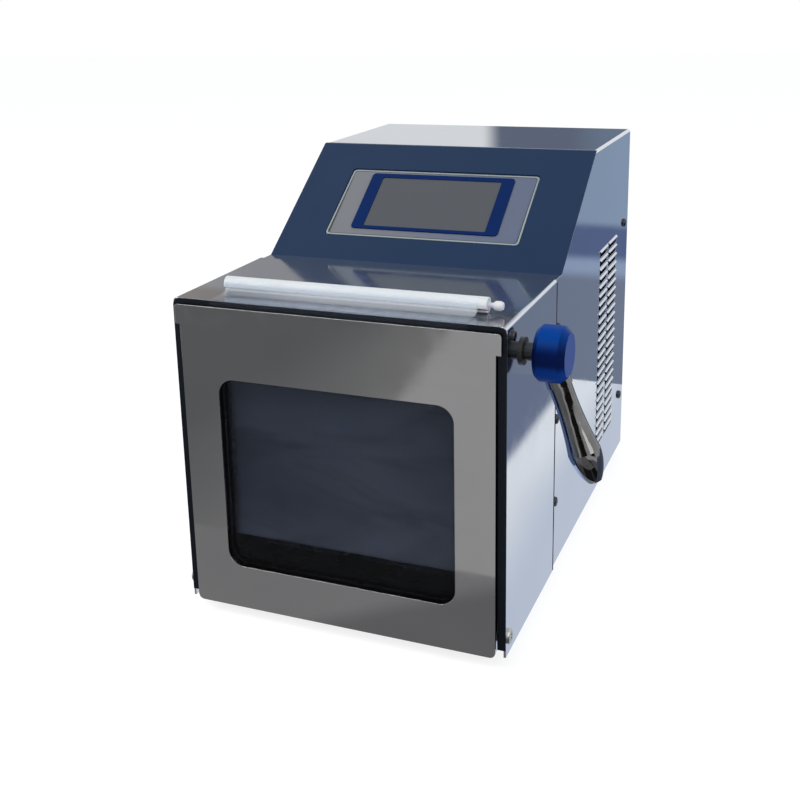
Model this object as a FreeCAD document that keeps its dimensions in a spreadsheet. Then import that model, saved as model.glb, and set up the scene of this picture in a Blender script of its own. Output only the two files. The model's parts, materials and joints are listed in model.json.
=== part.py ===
import FreeCAD, Part
import math
import operator
import os

import Sketcher

# Laboratory paddle blender, in millimetres.
# +Z is up, +X is to the right as seen from the front, +Y runs from the door to the rear panel.
# The origin is the centre of the case's footprint, on the bench under the feet.
# Depths are counted back from the front edge of the case, and rises up from the case's lower edge.

DOC = FreeCAD.newDocument("paddle_blender")
SHEET = DOC.addObject("Spreadsheet::Sheet", "Sizes")

SIZES = (
    ("case_width", 230.0, "case, side to side"),
    ("case_depth", 382.0, "case, front edge to rear edge"),
    ("front_height", 220.0, "front box, without feet"),
    ("case_height", 290.5, "rear housing, without feet"),
    ("foot_height", 10.0, "rubber feet under the case"),
    ("sheet", 1.5, "stainless sheet of the shells"),
    ("bend", 2.5, "outer radius of the folded long edges"),
    ("seam_depth", 120.0, "depth of the front shell"),
    ("lap", 12.0, "rear shell reaching under the front shell"),
    ("slope_foot", 137.0, "depth where the control slope starts"),
    ("slope_top", 242.5, "depth where the control slope ends"),
    ("lip", 14.0, "return lips along the lower edges"),
    ("lip_start", 24.0, "depth of the first lip, behind the swing of the door"),
    ("assembly_gap", 0.5, "gap left between neighbouring fixed sheets"),
    ("base_thick", 2.0, "base plate"),
    ("flange", 16.0, "fixing flanges of the inner plates"),
    ("louvre_rows", 23.0, "slots in one column"),
    ("louvre_pitch", 7.44, "slot to slot"),
    ("louvre_low", 37.0, "rise of the lowest slot"),
    ("louvre_slot", 5.2, "open height of one slot"),
    ("louvre_end", 49.0, "rear column in front of the case's rear edge"),
    ("louvre_gap", 5.0, "between the two columns"),
    ("louvre_front_length", 28.0, "slot length, front column"),
    ("louvre_rear_length", 32.0, "slot length, rear column"),
    ("louvre_out", 1.2, "reach of the pressed lip"),
    ("louvre_root", 0.9, "height of the lip's root above its slot"),
    ("louvre_tip", 0.6, "thickness of the lip at its free edge"),
    ("louvre_drop", 0.9, "drop of the free edge below the slot's top"),
    ("fascia_thick", 2.0, "painted control fascia"),
    ("label_width", 154.0, "grey label plate"),
    ("label_height", 73.5, "grey label plate"),
    ("label_rise", 61.9, "label centre, up the slope"),
    ("label_thick", 0.8, "grey label plate"),
    ("label_corner", 3.0, "corner radius of the label plate"),
    ("bezel_width", 117.0, "blue screen bezel"),
    ("bezel_height", 60.5, "blue screen bezel"),
    ("bezel_rise", 64.1, "bezel centre, up the slope"),
    ("bezel_thick", 1.0, "blue screen bezel"),
    ("bezel_corner", 3.0, "corner radius of the bezel"),
    ("screen_width", 97.5, "visible screen"),
    ("screen_height", 53.0, "visible screen"),
    ("screen_rise", 63.4, "screen centre, up the slope"),
    ("screen_recess", 0.5, "screen below the bezel's face"),
    ("screen_corner", 1.5, "corner radius of the screen"),
    ("cutout_gap", 0.3, "play round the screen and the label"),
    ("module_width", 118.0, "display module behind the slope"),
    ("module_height", 76.0, "display module behind the slope"),
    ("module_thick", 9.0, "display module behind the slope"),
    ("board_width", 140.0, "control board"),
    ("board_height", 84.0, "control board"),
    ("board_thick", 1.6, "control and driver boards"),
    ("board_post", 8.0, "length of the board's posts"),
    ("post_radius", 3.0, "posts of the boards"),
    ("post_inset", 7.0, "post centre in from a board's or module's edge"),
    ("chip_side", 20.0, "largest chip on the control board"),
    ("chip_height", 4.0, "largest chip on the control board"),
    ("chamber_margin", 23.0, "chamber wall in from the case's side"),
    ("chamber_floor", 25.0, "rise of the chamber floor"),
    ("chamber_drop", 50.0, "chamber ceiling below the deck"),
    ("chamber_corner", 8.0, "corner radius of the chamber"),
    ("liner_depth", 14.0, "depth of the liner's front flange"),
    ("chamber_back", 80.0, "depth of the chamber's back wall"),
    ("door_margin", 6.0, "door skin in from the case's side"),
    ("door_ear_margin", 2.7, "door's ears in from the case's side"),
    ("door_ear_height", 13.5, "ears at the door's upper corners"),
    ("door_drop", 3.5, "door's upper edge below the deck"),
    ("door_ahead", 3.5, "door skin in front of the case's edge"),
    ("door_corner", 4.0, "corner radius of the door skin"),
    ("door_flange", 10.0, "depth of the door's folded edges"),
    ("flange_drop", 22.0, "end of the door's folded side edges below the deck"),
    ("window_margin", 26.5, "window opening in from the door's side edge"),
    ("window_low", 31.5, "rise of the window's lower edge"),
    ("window_drop", 52.5, "window's upper edge below the deck"),
    ("window_corner", 11.5, "corner radius of the window"),
    ("glass_lap", 8.0, "glass behind the skin, all round"),
    ("glass_thick", 6.0, "toughened window glass"),
    ("gasket_width", 6.0, "rubber frame round the glass"),
    ("backing_thick", 2.0, "inner panel of the door"),
    ("backing_low", 16.0, "rise of the inner panel's lower edge"),
    ("backing_drop", 24.0, "inner panel's upper edge below the deck"),
    ("door_play", 0.3, "inner panel to the door's folded edges"),
    ("band_width", 5.5, "black edge gasket, at the sides"),
    ("band_top", 4.5, "black edge gasket, at the top"),
    ("band_ahead", 0.6, "edge gasket in front of the case's edge"),
    ("band_lip", 8.0, "edge gasket, inner lip"),
    ("band_low", 5.0, "rise of the gasket's lower ends"),
    ("band_lip_low", 22.0, "rise of the inner lip's lower ends"),
    ("band_corner", 5.0, "outer corner radius of the gasket"),
    ("hinge_depth", 5.0, "depth of the door's hinge line"),
    ("hinge_rise", 13.0, "rise of the door's hinge line"),
    ("hinge_radius", 3.0, "hinge pin"),
    ("hinge_head", 5.0, "radius of the hinge pin's head"),
    ("hinge_head_thick", 2.5, "head of the hinge pin"),
    ("running_gap", 0.05, "radial play of every running fit"),
    ("hinge_block", 10.0, "width of the nylon hinge blocks"),
    ("hinge_block_half", 8.0, "half height of the nylon hinge blocks"),
    ("spacer_radius", 4.5, "hinge spacer"),
    ("spacer_play", 0.3, "hinge spacer to the door"),
    ("lock_depth", 35.0, "depth of the lock shaft"),
    ("lock_drop", 25.0, "lock shaft below the deck"),
    ("lock_radius", 6.0, "lock shaft"),
    ("lock_turn", 18.0, "last part of the lock's turn, in degrees"),
    ("hook_margin", 15.0, "hook in from the case's side"),
    ("hook_thick", 6.0, "hook plate"),
    ("hook_boss", 11.0, "radius of the hook's boss"),
    ("hook_reach", 23.0, "radius of the hook's nose"),
    ("hook_nose", 3.3, "thickness of the hook's nose"),
    ("jaw_play", 0.3, "hook jaw to the striker pin"),
    ("striker_ahead", 16.5, "striker pins in front of the lock shaft"),
    ("striker_under", 4.8, "striker pins below the lock shaft"),
    ("striker_radius", 2.2, "striker pin"),
    ("ear_thick", 2.5, "ears of the striker brackets"),
    ("ear_gap", 1.0, "hook plate to the striker's ears"),
    ("ear_height", 13.0, "ears of the striker brackets"),
    ("ear_overhang", 2.6, "ear beyond the striker pin's surface"),
    ("block_depth", 23.0, "bearing blocks of the lock shaft, front to back"),
    ("block_height", 24.0, "bearing blocks of the lock shaft"),
    ("block_width", 8.5, "bearing blocks of the lock shaft"),
    ("lock_bush", 8.0, "outer radius of the lock bushes"),
    ("bush_flange", 9.0, "radius of the lock bush's outer flange"),
    ("bush_flange_thick", 1.5, "outer flange of the lock bush"),
    ("hub_gap", 9.5, "case side to the blue hub"),
    ("hub_length", 20.0, "blue hub"),
    ("hub_radius", 18.0, "blue hub at its widest"),
    ("hub_inner", 15.5, "radius of the hub's inner end"),
    ("hub_outer", 14.0, "radius of the hub's outer end face"),
    ("hub_inner_bevel", 3.0, "length of the hub's inner bevel"),
    ("hub_outer_bevel", 4.0, "length of the hub's outer bevel"),
    ("hub_bore", 12.0, "depth of the hub's bore"),
    ("grip_place", 16.0, "handle axis out from the case side"),
    ("grip_lean", 21.0, "lean of the handle away from the case, in degrees"),
    ("grip_start", 14.0, "handle's seat, from the lock axis"),
    ("grip_end", 86.0, "handle's tip, from the lock axis"),
    ("grip_collar", 8.2, "radius of the handle's collar"),
    ("grip_collar_length", 7.0, "length of the handle's collar"),
    ("grip_neck", 7.5, "radius of the handle's neck"),
    ("grip_bulge", 10.6, "radius of the handle's bulge"),
    ("grip_bulge_back", 20.0, "bulge, back from the tip"),
    ("grip_nose", 4.5, "radius of the flat at the handle's tip"),
    ("paddle_split", 5.0, "between the two paddles"),
    ("paddle_side_gap", 10.5, "paddle to the chamber's side wall"),
    ("paddle_floor_gap", 11.0, "paddle to the chamber's floor"),
    ("paddle_roof_gap", 6.0, "paddle to the chamber's ceiling"),
    ("paddle_thick", 4.0, "paddle"),
    ("paddle_corner", 8.0, "corner radius of the paddle"),
    ("paddle_depth", 27.0, "depth of the paddle's face at mid stroke"),
    ("paddle_boss", 13.0, "radius of the boss behind the paddle"),
    ("paddle_boss_length", 9.0, "boss behind the paddle"),
    ("rod_rise", 100.0, "rise of the paddle rods and the crankshaft"),
    ("rod_radius", 6.0, "paddle rod"),
    ("guide_wall", 11.0, "guide block beyond the rod seals"),
    ("guide_height", 44.0, "guide block"),
    ("bush_radius", 9.0, "outer radius of the rod bushes"),
    ("bush_gap", 5.5, "between the two bushes of one rod"),
    ("seal_radius", 11.0, "outer radius of the rod seals"),
    ("seal_length", 5.0, "rod seal in the guide block"),
    ("crank_depth", 175.0, "depth of the crankshaft"),
    ("throw", 10.0, "throw of the crank pins"),
    ("yoke_width", 16.0, "yoke, side to side"),
    ("yoke_wall_depth", 7.4, "yoke walls in front of and behind the slot"),
    ("yoke_wall_rise", 8.0, "yoke walls above and below the slot"),
    ("slot_play", 1.6, "eccentric bearing to the slot's front and rear walls"),
    ("slot_end_play", 1.0, "eccentric bearing to the slot's ends"),
    ("pin_radius", 6.0, "crank pin"),
    ("ring_radius", 14.0, "outer radius of the eccentric bearings"),
    ("ring_width", 12.0, "eccentric bearing"),
    ("web_thick", 5.0, "crank webs"),
    ("web_radius", 19.0, "crank webs"),
    ("web_gap", 1.0, "yoke to the crank webs"),
    ("journal_radius", 7.0, "crankshaft journals"),
    ("bearing_radius", 16.0, "outer radius of the crank bearings"),
    ("cheek_thick", 10.0, "cheeks of the drive frame"),
    ("cheek_gap", 7.0, "outer cheeks beyond the crank webs"),
    ("cheek_reach", 24.0, "cheek above and behind the crankshaft"),
    ("frame_foot", 4.0, "foot plate of the drive frame"),
    ("frame_behind", 28.0, "foot plate behind the crankshaft"),
    ("pulley_gap", 9.0, "driven pulley beyond the outer cheek"),
    ("pulley_width", 14.0, "both pulleys"),
    ("driven_radius", 50.0, "outer radius of the driven pulley"),
    ("drive_radius", 20.0, "outer radius of the motor pulley"),
    ("groove_depth", 7.0, "belt groove in the pulleys"),
    ("groove_floor", 5.0, "width of the groove's floor"),
    ("groove_mouth", 10.0, "width of the groove's mouth"),
    ("belt_gap", 0.3, "belt to the pulley grooves"),
    ("belt_height", 6.0, "section of the belt"),
    ("motor_ahead", 88.5, "motor's axis in front of the rear panel"),
    ("motor_rise", 58.0, "rise of the motor's axis"),
    ("motor_radius", 40.0, "motor can"),
    ("motor_length", 118.0, "motor can"),
    ("motor_bell", 31.0, "radius of the motor's end bells"),
    ("motor_bell_length", 7.0, "motor's end bells"),
    ("motor_shaft", 6.0, "radius of the motor shaft"),
    ("cradle_width", 70.0, "motor cradle, along the motor"),
    ("cradle_depth", 84.0, "motor cradle, front to back"),
    ("cradle_wall", 6.0, "motor cradle under the can"),
    ("supply_width", 98.0, "power supply"),
    ("supply_depth", 30.0, "power supply, front to back"),
    ("supply_height", 128.0, "power supply"),
    ("supply_place", 18.0, "power supply's left face, left of the middle"),
    ("supply_rise", 130.0, "rise of the power supply"),
    ("panel_inset", 2.0, "rear panel in from the shell's rear edge"),
    ("inlet_place", 62.0, "power inlet, left of the middle"),
    ("inlet_rise", 44.0, "rise of the power inlet's centre"),
    ("inlet_width", 30.0, "power inlet's body"),
    ("inlet_height", 23.0, "power inlet's body"),
    ("inlet_depth", 26.0, "power inlet's body"),
    ("inlet_flange", 9.0, "power inlet's flange beyond its body"),
    ("inlet_flange_thick", 2.5, "power inlet's flange"),
    ("inlet_wall", 3.0, "power inlet's wall round the plug well"),
    ("inlet_well", 18.0, "depth of the plug well"),
    ("inlet_blade", 2.0, "thickness of the inlet's contacts"),
    ("inlet_blade_length", 13.0, "length of the inlet's contacts"),
    ("inlet_blade_spread", 7.0, "outer contacts from the middle one"),
    ("switch_place", 15.0, "power switch, left of the middle"),
    ("switch_width", 20.0, "power switch opening"),
    ("switch_height", 28.0, "power switch opening"),
    ("switch_depth", 20.0, "power switch body"),
    ("switch_rim", 2.0, "power switch's rim"),
    ("switch_wall", 1.6, "power switch body's wall"),
    ("rocker_gap", 0.6, "rocker to the switch body"),
    ("rocker_tilt", 11.0, "half of the rocker's travel, in degrees"),
    ("rocker_radius", 3.0, "rocker's pivot boss"),
    ("rocker_depth", 9.0, "rocker's body"),
    ("rocker_rise", 2.0, "rocker's crown beyond the rim"),
    ("fuse_place", 25.0, "fuse holder, right of the middle"),
    ("fuse_radius", 7.0, "fuse holder's cap"),
    ("fuse_cap", 8.0, "length of the fuse holder's cap"),
    ("fuse_body", 5.0, "radius of the fuse holder's barrel"),
    ("fuse_length", 30.0, "length of the fuse holder's barrel"),
    ("foot_radius", 11.0, "rubber foot at the bench"),
    ("foot_upper", 13.0, "rubber foot at the case"),
    ("foot_inset", 30.0, "foot centre in from the case's sides"),
    ("foot_front", 52.0, "depth of the front feet"),
    ("foot_rear", 32.5, "rear feet in front of the rear panel"),
    ("foot_pocket", 5.5, "radius of the pocket for the foot's screw"),
    ("foot_pocket_depth", 5.0, "depth of the pocket for the foot's screw"),
    ("screw_radius", 2.0, "shank of the case screws"),
    ("screw_head", 3.6, "head of the case screws"),
    ("screw_head_thick", 2.0, "head of the case screws"),
    ("screw_length", 7.0, "shank of the case screws"),
    ("screw_behind", 9.0, "seam screws behind the seam"),
    ("seam_screw_low", 51.0, "rise of the lowest seam screw"),
    ("seam_screw_mid", 115.0, "rise of the middle seam screw"),
    ("seam_screw_drop", 37.0, "highest seam screw below the deck"),
    ("rear_screw_ahead", 14.0, "rear screws in front of the rear panel"),
    ("rear_screw_low", 52.0, "rise of the lower rear screws"),
    ("rear_screw_drop", 79.5, "upper rear screws below the roof"),
    ("dome_depth", 12.0, "depth of the dome screws at the front corners"),
    ("dome_drop", 8.5, "dome screws at the front corners below the deck"),
    ("clip_radius", 5.0, "bag clip's sleeve"),
    ("clip_bore", 3.6, "bore of the sleeve"),
    ("clip_left_margin", 27.0, "sleeve's left end in from the case's side"),
    ("clip_right_margin", 19.5, "sleeve's right end in from the case's side"),
    ("clip_depth", 26.0, "depth of the sleeve on the deck"),
    ("clip_slot", 1.8, "slot along the sleeve"),
    ("soft_gap", 0.3, "soft parts to their neighbours"),
    ("rod_slack", 0.3, "clip rod in its sleeve"),
    ("clip_stem", 1.6, "radius of the stem at the rod's end"),
    ("clip_stem_length", 3.5, "stem at the rod's end"),
    ("clip_ball", 3.0, "ball at the rod's end"),
    ("bag_play", 3.5, "bag's edge to the chamber's side wall"),
    ("bag_shift", 2.0, "bag's middle, right of the case's middle"),
    ("film", 0.6, "bag's neck, as one layer"),
    ("bag_thick", 1.4, "hanging bag, flat"),
    ("bag_low", 50.0, "rise of the bag's lower seam"),
    ("bag_jog_high", 9.0, "where the film leaves the door's skin, below the deck"),
    ("bag_jog_low", 21.0, "where the film reaches the chamber, below the deck"),
)


class Size:
    """A length or an angle: its number, and the expression that makes it from the sheet."""

    def __init__(self, value, words):
        self.value = value
        self.words = words

    def __add__(self, other):
        return combined(self, "+", other, operator.add)

    def __radd__(self, other):
        return combined(other, "+", self, operator.add)

    def __sub__(self, other):
        return combined(self, "-", other, operator.sub)

    def __rsub__(self, other):
        return combined(other, "-", self, operator.sub)

    def __mul__(self, other):
        return combined(self, "*", other, operator.mul)

    def __rmul__(self, other):
        return combined(other, "*", self, operator.mul)

    def __truediv__(self, other):
        return combined(self, "/", other, operator.truediv)

    def __neg__(self):
        return 0 - self


def number(term):
    return term.value if isinstance(term, Size) else float(term)


def words(term):
    return term.words if isinstance(term, Size) else repr(float(term))


def combined(left, sign, right, work):
    return Size(work(number(left), number(right)), f"({words(left)} {sign} {words(right)})")


def length_of(run, rise):
    text = f"sqrt({words(run)} * {words(run)} + {words(rise)} * {words(rise)})"
    return Size(math.hypot(number(run), number(rise)), text)


def angle_of(rise, run):
    degrees = math.degrees(math.atan2(number(rise), number(run)))
    return Size(degrees, f"(atan2({words(rise)}; {words(run)}) / 1deg)")


def sine(angle):
    return Size(math.sin(math.radians(number(angle))), f"sin({words(angle)} * 1deg)")


def cosine(angle):
    return Size(math.cos(math.radians(number(angle))), f"cos({words(angle)} * 1deg)")


def tangent(angle):
    return Size(math.tan(math.radians(number(angle))), f"tan({words(angle)} * 1deg)")


class Names:
    """The sheet's sizes by name."""


d = Names()
for row, (alias, value, note) in enumerate(SIZES, start=1):
    SHEET.set(f"A{row}", alias.replace("_", " "))
    SHEET.set(f"B{row}", str(value))
    SHEET.set(f"C{row}", note)
    SHEET.setAlias(f"B{row}", alias)
    setattr(d, alias, Size(value, f"Sizes.{alias}"))
DOC.recompute()

# Places that several pieces share.
half = d.case_width / 2
front = -d.case_depth / 2
back = d.case_depth / 2
floor = d.foot_height
deck = floor + d.front_height
roof = floor + d.case_height
shell_in = half - d.sheet
ledge = deck - d.sheet
rear_in = shell_in - d.sheet
plate_top = floor + d.sheet + d.base_thick
bulkhead_back = front + d.seam_depth
bulkhead_front = bulkhead_back - d.base_thick
panel_back = back - d.panel_inset
panel_front = panel_back - d.sheet
skin_front = front - d.door_ahead
skin_back = skin_front + d.sheet
glass_back = skin_back + d.glass_thick
backing_back = glass_back + d.backing_thick
slope_rise = roof - ledge
slope_run = d.slope_top - d.slope_foot
slope_angle = angle_of(slope_rise, slope_run)
slope_length = length_of(slope_run, slope_rise)
door_half = half - d.door_margin
door_top = deck - d.door_drop
window_half = door_half - d.window_margin
window_low = floor + d.window_low
window_high = deck - d.window_drop
backing_high = deck - d.backing_drop
chamber_half = half - d.chamber_margin
chamber_low = floor + d.chamber_floor
chamber_high = deck - d.chamber_drop
hinge_y = front + d.hinge_depth
hinge_z = floor + d.hinge_rise
lock_y = front + d.lock_depth
lock_z = deck - d.lock_drop
hook_centre = half - d.hook_margin
striker_y = lock_y - d.striker_ahead
striker_z = lock_z - d.striker_under
paddle_outer = chamber_half - d.paddle_side_gap
paddle_inner = d.paddle_split / 2
paddle_offset = (paddle_outer + paddle_inner) / 2
crank_y = front + d.crank_depth
crank_z = floor + d.rod_rise
web_inner = paddle_offset - d.yoke_width / 2 - d.web_gap
web_outer = paddle_offset + d.yoke_width / 2 + d.web_gap
cheek_place = web_outer + d.web_thick + d.cheek_gap + d.cheek_thick / 2
pulley_place = cheek_place + d.cheek_thick / 2 + d.pulley_gap + d.pulley_width / 2
motor_y = panel_front - d.motor_ahead
motor_z = floor + d.motor_rise
clip_left = half - d.clip_left_margin
clip_right = half - d.clip_right_margin
paddle_back = front + d.paddle_depth + d.paddle_thick
liner_back = front + d.chamber_back + d.sheet
yoke_half = d.ring_radius + d.slot_play + d.yoke_wall_depth
side_signs = (-1, 1)

FINISHED = []


def bind(target, name, size):
    """Tie a property to the sheet, or set it where the size is a plain number."""
    if isinstance(size, Size):
        target.setExpression(name, size.words)
    else:
        target.setExpression(name, repr(float(size)))


def finish(target, label):
    target.Label = label
    FINISHED.append(target)
    return target


def place(target, x=0, y=0, z=0, axis=None, angle=0):
    """Put an object at a point, turned about one axis."""
    if axis is not None:
        target.Placement = FreeCAD.Placement(FreeCAD.Vector(), FreeCAD.Rotation(axis, number(angle)))
        bind(target, ".Placement.Rotation.Angle", angle)
    for name, size in (("x", x), ("y", y), ("z", z)):
        bind(target, f".Placement.Base.{name}", size)
    return target


X_AXIS = FreeCAD.Vector(1, 0, 0)
Y_AXIS = FreeCAD.Vector(0, 1, 0)
Z_AXIS = FreeCAD.Vector(0, 0, 1)
ORIGIN_POINT = (-1, 1)


def tie_point(sketch, geometry, end, point):
    """Fix one end of a line or arc, or a circle's centre, at a point made from the sheet."""
    for kind, size in zip(("DistanceX", "DistanceY"), point):
        index = sketch.addConstraint(Sketcher.Constraint(kind, *ORIGIN_POINT, geometry, end, number(size)))
        bind(sketch, f"Constraints[{index}]", size)


def tie_radius(sketch, geometry, size):
    index = sketch.addConstraint(Sketcher.Constraint("Radius", geometry, number(size)))
    bind(sketch, f"Constraints[{index}]", size)


def circle(x, y, radius):
    def draw(sketch):
        centre = FreeCAD.Vector(number(x), number(y), 0)
        index = sketch.addGeometry(Part.Circle(centre, Z_AXIS, number(radius)), False)
        tie_point(sketch, index, 3, (x, y))
        tie_radius(sketch, index, radius)
    return draw


def arc_between(start, end, radius):
    """An arc that runs from start to end, counter-clockwise where the radius is positive."""
    a = FreeCAD.Vector(number(start[0]), number(start[1]), 0)
    b = FreeCAD.Vector(number(end[0]), number(end[1]), 0)
    if number(radius) < 0:
        a, b = b, a
    size = abs(number(radius))
    chord = b - a
    rise = math.sqrt(max(size * size - chord.Length * chord.Length / 4, 0))
    left = FreeCAD.Vector(-chord.y, chord.x, 0).normalize()
    centre = (a + b) * 0.5 + left * rise
    first = math.atan2(a.y - centre.y, a.x - centre.x)
    last = math.atan2(b.y - centre.y, b.x - centre.x)
    return Part.ArcOfCircle(Part.Circle(centre, Z_AXIS, size), first, last)


def outline(*points):
    """A closed outline. A point's third value, if it has one, is the radius of the arc that leads to
    the next point: positive for a counter-clockwise arc, negative for a clockwise one."""
    def draw(sketch):
        ends = []
        for here, there in zip(points, points[1:] + points[:1]):
            if len(here) == 3:
                index = sketch.addGeometry(arc_between(here, there, here[2]), False)
                ends.append((index, 1, 2) if number(here[2]) > 0 else (index, 2, 1))
            else:
                a = FreeCAD.Vector(number(here[0]), number(here[1]), 0)
                b = FreeCAD.Vector(number(there[0]), number(there[1]), 0)
                index = sketch.addGeometry(Part.LineSegment(a, b), False)
                ends.append((index, 1, 2))
        for (index, _, end), (other, start, _) in zip(ends, ends[1:] + ends[:1]):
            sketch.addConstraint(Sketcher.Constraint("Coincident", index, end, other, start))
        for (index, start, _), point in zip(ends, points):
            tie_point(sketch, index, start, point[:2])
            if len(point) == 3:
                radius = point[2] if number(point[2]) > 0 else -point[2]
                tie_radius(sketch, index, radius)
    return draw


def rectangle(x0, x1, y0, y1):
    return outline((x0, y0), (x1, y0), (x1, y1), (x0, y1))


def rounded(x0, x1, y0, y1, radius):
    """A rectangle with four round corners of one radius."""
    return outline(
        (x0 + radius, y0), (x1 - radius, y0, radius), (x1, y0 + radius), (x1, y1 - radius, radius),
        (x1 - radius, y1), (x0 + radius, y1, radius), (x0, y1 - radius), (x0, y0 + radius, radius))


def mirrored(draw_side):
    """The same outlines for the right side, +1, and the left side, -1."""
    def draw(sketch):
        for side in side_signs:
            draw_side(side)(sketch)
    return draw


def spread(side, a, b):
    """Two distances from the middle as lower and higher X on one side."""
    return (a, b) if side > 0 else (-b, -a)


def body(label):
    return finish(DOC.addObject("PartDesign::Body", label), label)


# For each plane: its role, the sign of its offset, and whether a pad and a pocket run reversed so
# that both grow towards the positive axis.
PLANES = {
    "XY": ("XY_Plane", 1, False, True),
    "XZ": ("XZ_Plane", -1, True, False),
    "YZ": ("YZ_Plane", 1, False, True),
}


def sketch_on(target, plane, start, shapes):
    role, sign, _, _ = PLANES[plane]
    sketch = target.newObject("Sketcher::SketchObject", target.Name + "_sketch")
    support = next(item for item in target.Origin.OriginFeatures if item.Role == role)
    sketch.AttachmentSupport = [(support, "")]
    sketch.MapMode = "FlatFace"
    bind(sketch, ".AttachmentOffset.Base.z", sign * start)
    for draw in shapes:
        draw(sketch)
    return sketch


def pad(target, plane, start, end, *shapes):
    """Add material between two places along the plane's normal."""
    sketch = sketch_on(target, plane, start, shapes)
    feature = target.newObject("PartDesign::Pad", target.Name + "_pad")
    feature.Profile = sketch
    feature.Reversed = PLANES[plane][2]
    bind(feature, "Length", end - start)
    return feature


def cut(target, plane, start, end, *shapes):
    """Remove material between two places along the plane's normal."""
    sketch = sketch_on(target, plane, start, shapes)
    feature = target.newObject("PartDesign::Pocket", target.Name + "_pocket")
    feature.Profile = sketch
    feature.Reversed = PLANES[plane][3]
    bind(feature, "Length", end - start)
    return feature


def turn(target, plane, axis, *shapes):
    """Revolve outlines about one axis of their own sketch."""
    sketch = sketch_on(target, plane, 0, shapes)
    feature = target.newObject("PartDesign::Revolution", target.Name + "_turn")
    feature.Profile = sketch
    feature.ReferenceAxis = (sketch, [axis])
    feature.Angle = 360
    return feature


def soften(target, radius, wanted):
    """Round the edges of the body's last feature that wanted() picks."""
    DOC.recompute()
    base = target.Tip
    names = [f"Edge{i}" for i, edge in enumerate(base.Shape.Edges, start=1) if wanted(edge)]
    if not names:
        raise RuntimeError(f"{target.Label}: no edge to round")
    feature = target.newObject("PartDesign::Fillet", target.Name + "_fillet")
    feature.Base = (base, names)
    bind(feature, "Radius", radius)
    return feature


def edge_at(x=None, y=None, z=None, symmetric=True):
    """A test for straight edges that lie at the given places."""
    def test(edge):
        if edge.Curve.TypeId != "Part::GeomLine":
            return False
        for vertex in edge.Vertexes:
            across = abs(vertex.X) if symmetric else vertex.X
            for here, wish in ((across, x), (vertex.Y, y), (vertex.Z, z)):
                if wish is not None and abs(here - number(wish)) > 1e-3:
                    return False
        return True
    return test


def cylinder(name, x, y, z, radius, length, axis=None, angle=0):
    made = DOC.addObject("Part::Cylinder", name)
    bind(made, "Radius", radius)
    bind(made, "Height", length)
    return place(made, x, y, z, axis, angle)


def block(name, x0, x1, y0, y1, z0, z1):
    made = DOC.addObject("Part::Box", name)
    bind(made, "Length", x1 - x0)
    bind(made, "Width", y1 - y0)
    bind(made, "Height", z1 - z0)
    return place(made, x0, y0, z0)


def along_x(name, x, y, z, radius, length, sign=1):
    return cylinder(name, x, y, z, radius, length, Y_AXIS, 90 * sign)


def along_y(name, x, y, z, radius, length, sign=1):
    return cylinder(name, x, y, z, radius, length, X_AXIS, -90 * sign)


def joined(name, *pieces):
    made = DOC.addObject("Part::MultiFuse", name)
    made.Shapes = list(pieces)
    return made


def removed(name, base, tool):
    made = DOC.addObject("Part::Cut", name)
    made.Base = base
    made.Tool = tool
    return made


def group(label, *pieces):
    made = DOC.addObject("Part::Compound", label)
    made.Links = list(pieces)
    return finish(made, label)


# Case
def side_screw_places():
    """Depth and rise of each screw in one side of the rear shell."""
    seam_y = bulkhead_back + d.screw_behind
    rear_y = panel_front - d.rear_screw_ahead
    seam = [(seam_y, floor + d.seam_screw_low), (seam_y, floor + d.seam_screw_mid),
            (seam_y, deck - d.seam_screw_drop)]
    rear = [(rear_y, floor + d.rear_screw_low), (rear_y, roof - d.rear_screw_drop)]
    return seam, rear


def foot_places():
    foot_x = half - d.foot_inset
    rows = (front + d.foot_front, panel_front - d.foot_rear)
    return [(side * foot_x, y) for side in side_signs for y in rows]


def front_shell():
    shell = body("front_shell")
    fold = d.bend - d.sheet
    pad(shell, "XZ", front, bulkhead_back, outline(
        (-half, floor), (-half, deck - d.bend, -d.bend), (-half + d.bend, deck),
        (half - d.bend, deck, -d.bend), (half, deck - d.bend), (half, floor),
        (shell_in, floor), (shell_in, ledge - fold, fold), (shell_in - fold, ledge),
        (-shell_in + fold, ledge, fold), (-shell_in, ledge - fold), (-shell_in, floor)))
    lip_end = bulkhead_back - d.lap - d.assembly_gap
    pad(shell, "XY", floor, floor + d.sheet, mirrored(lambda side: rectangle(
        *spread(side, half - d.lip, shell_in), front + d.lip_start, lip_end)))
    cut(shell, "YZ", -half, half, circle(hinge_y, hinge_z, d.hinge_radius))
    cut(shell, "YZ", -half, half, circle(front + d.dome_depth, deck - d.dome_drop, d.screw_radius))
    cut(shell, "YZ", 0 * half, half, circle(lock_y, lock_z, d.lock_bush))


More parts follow.
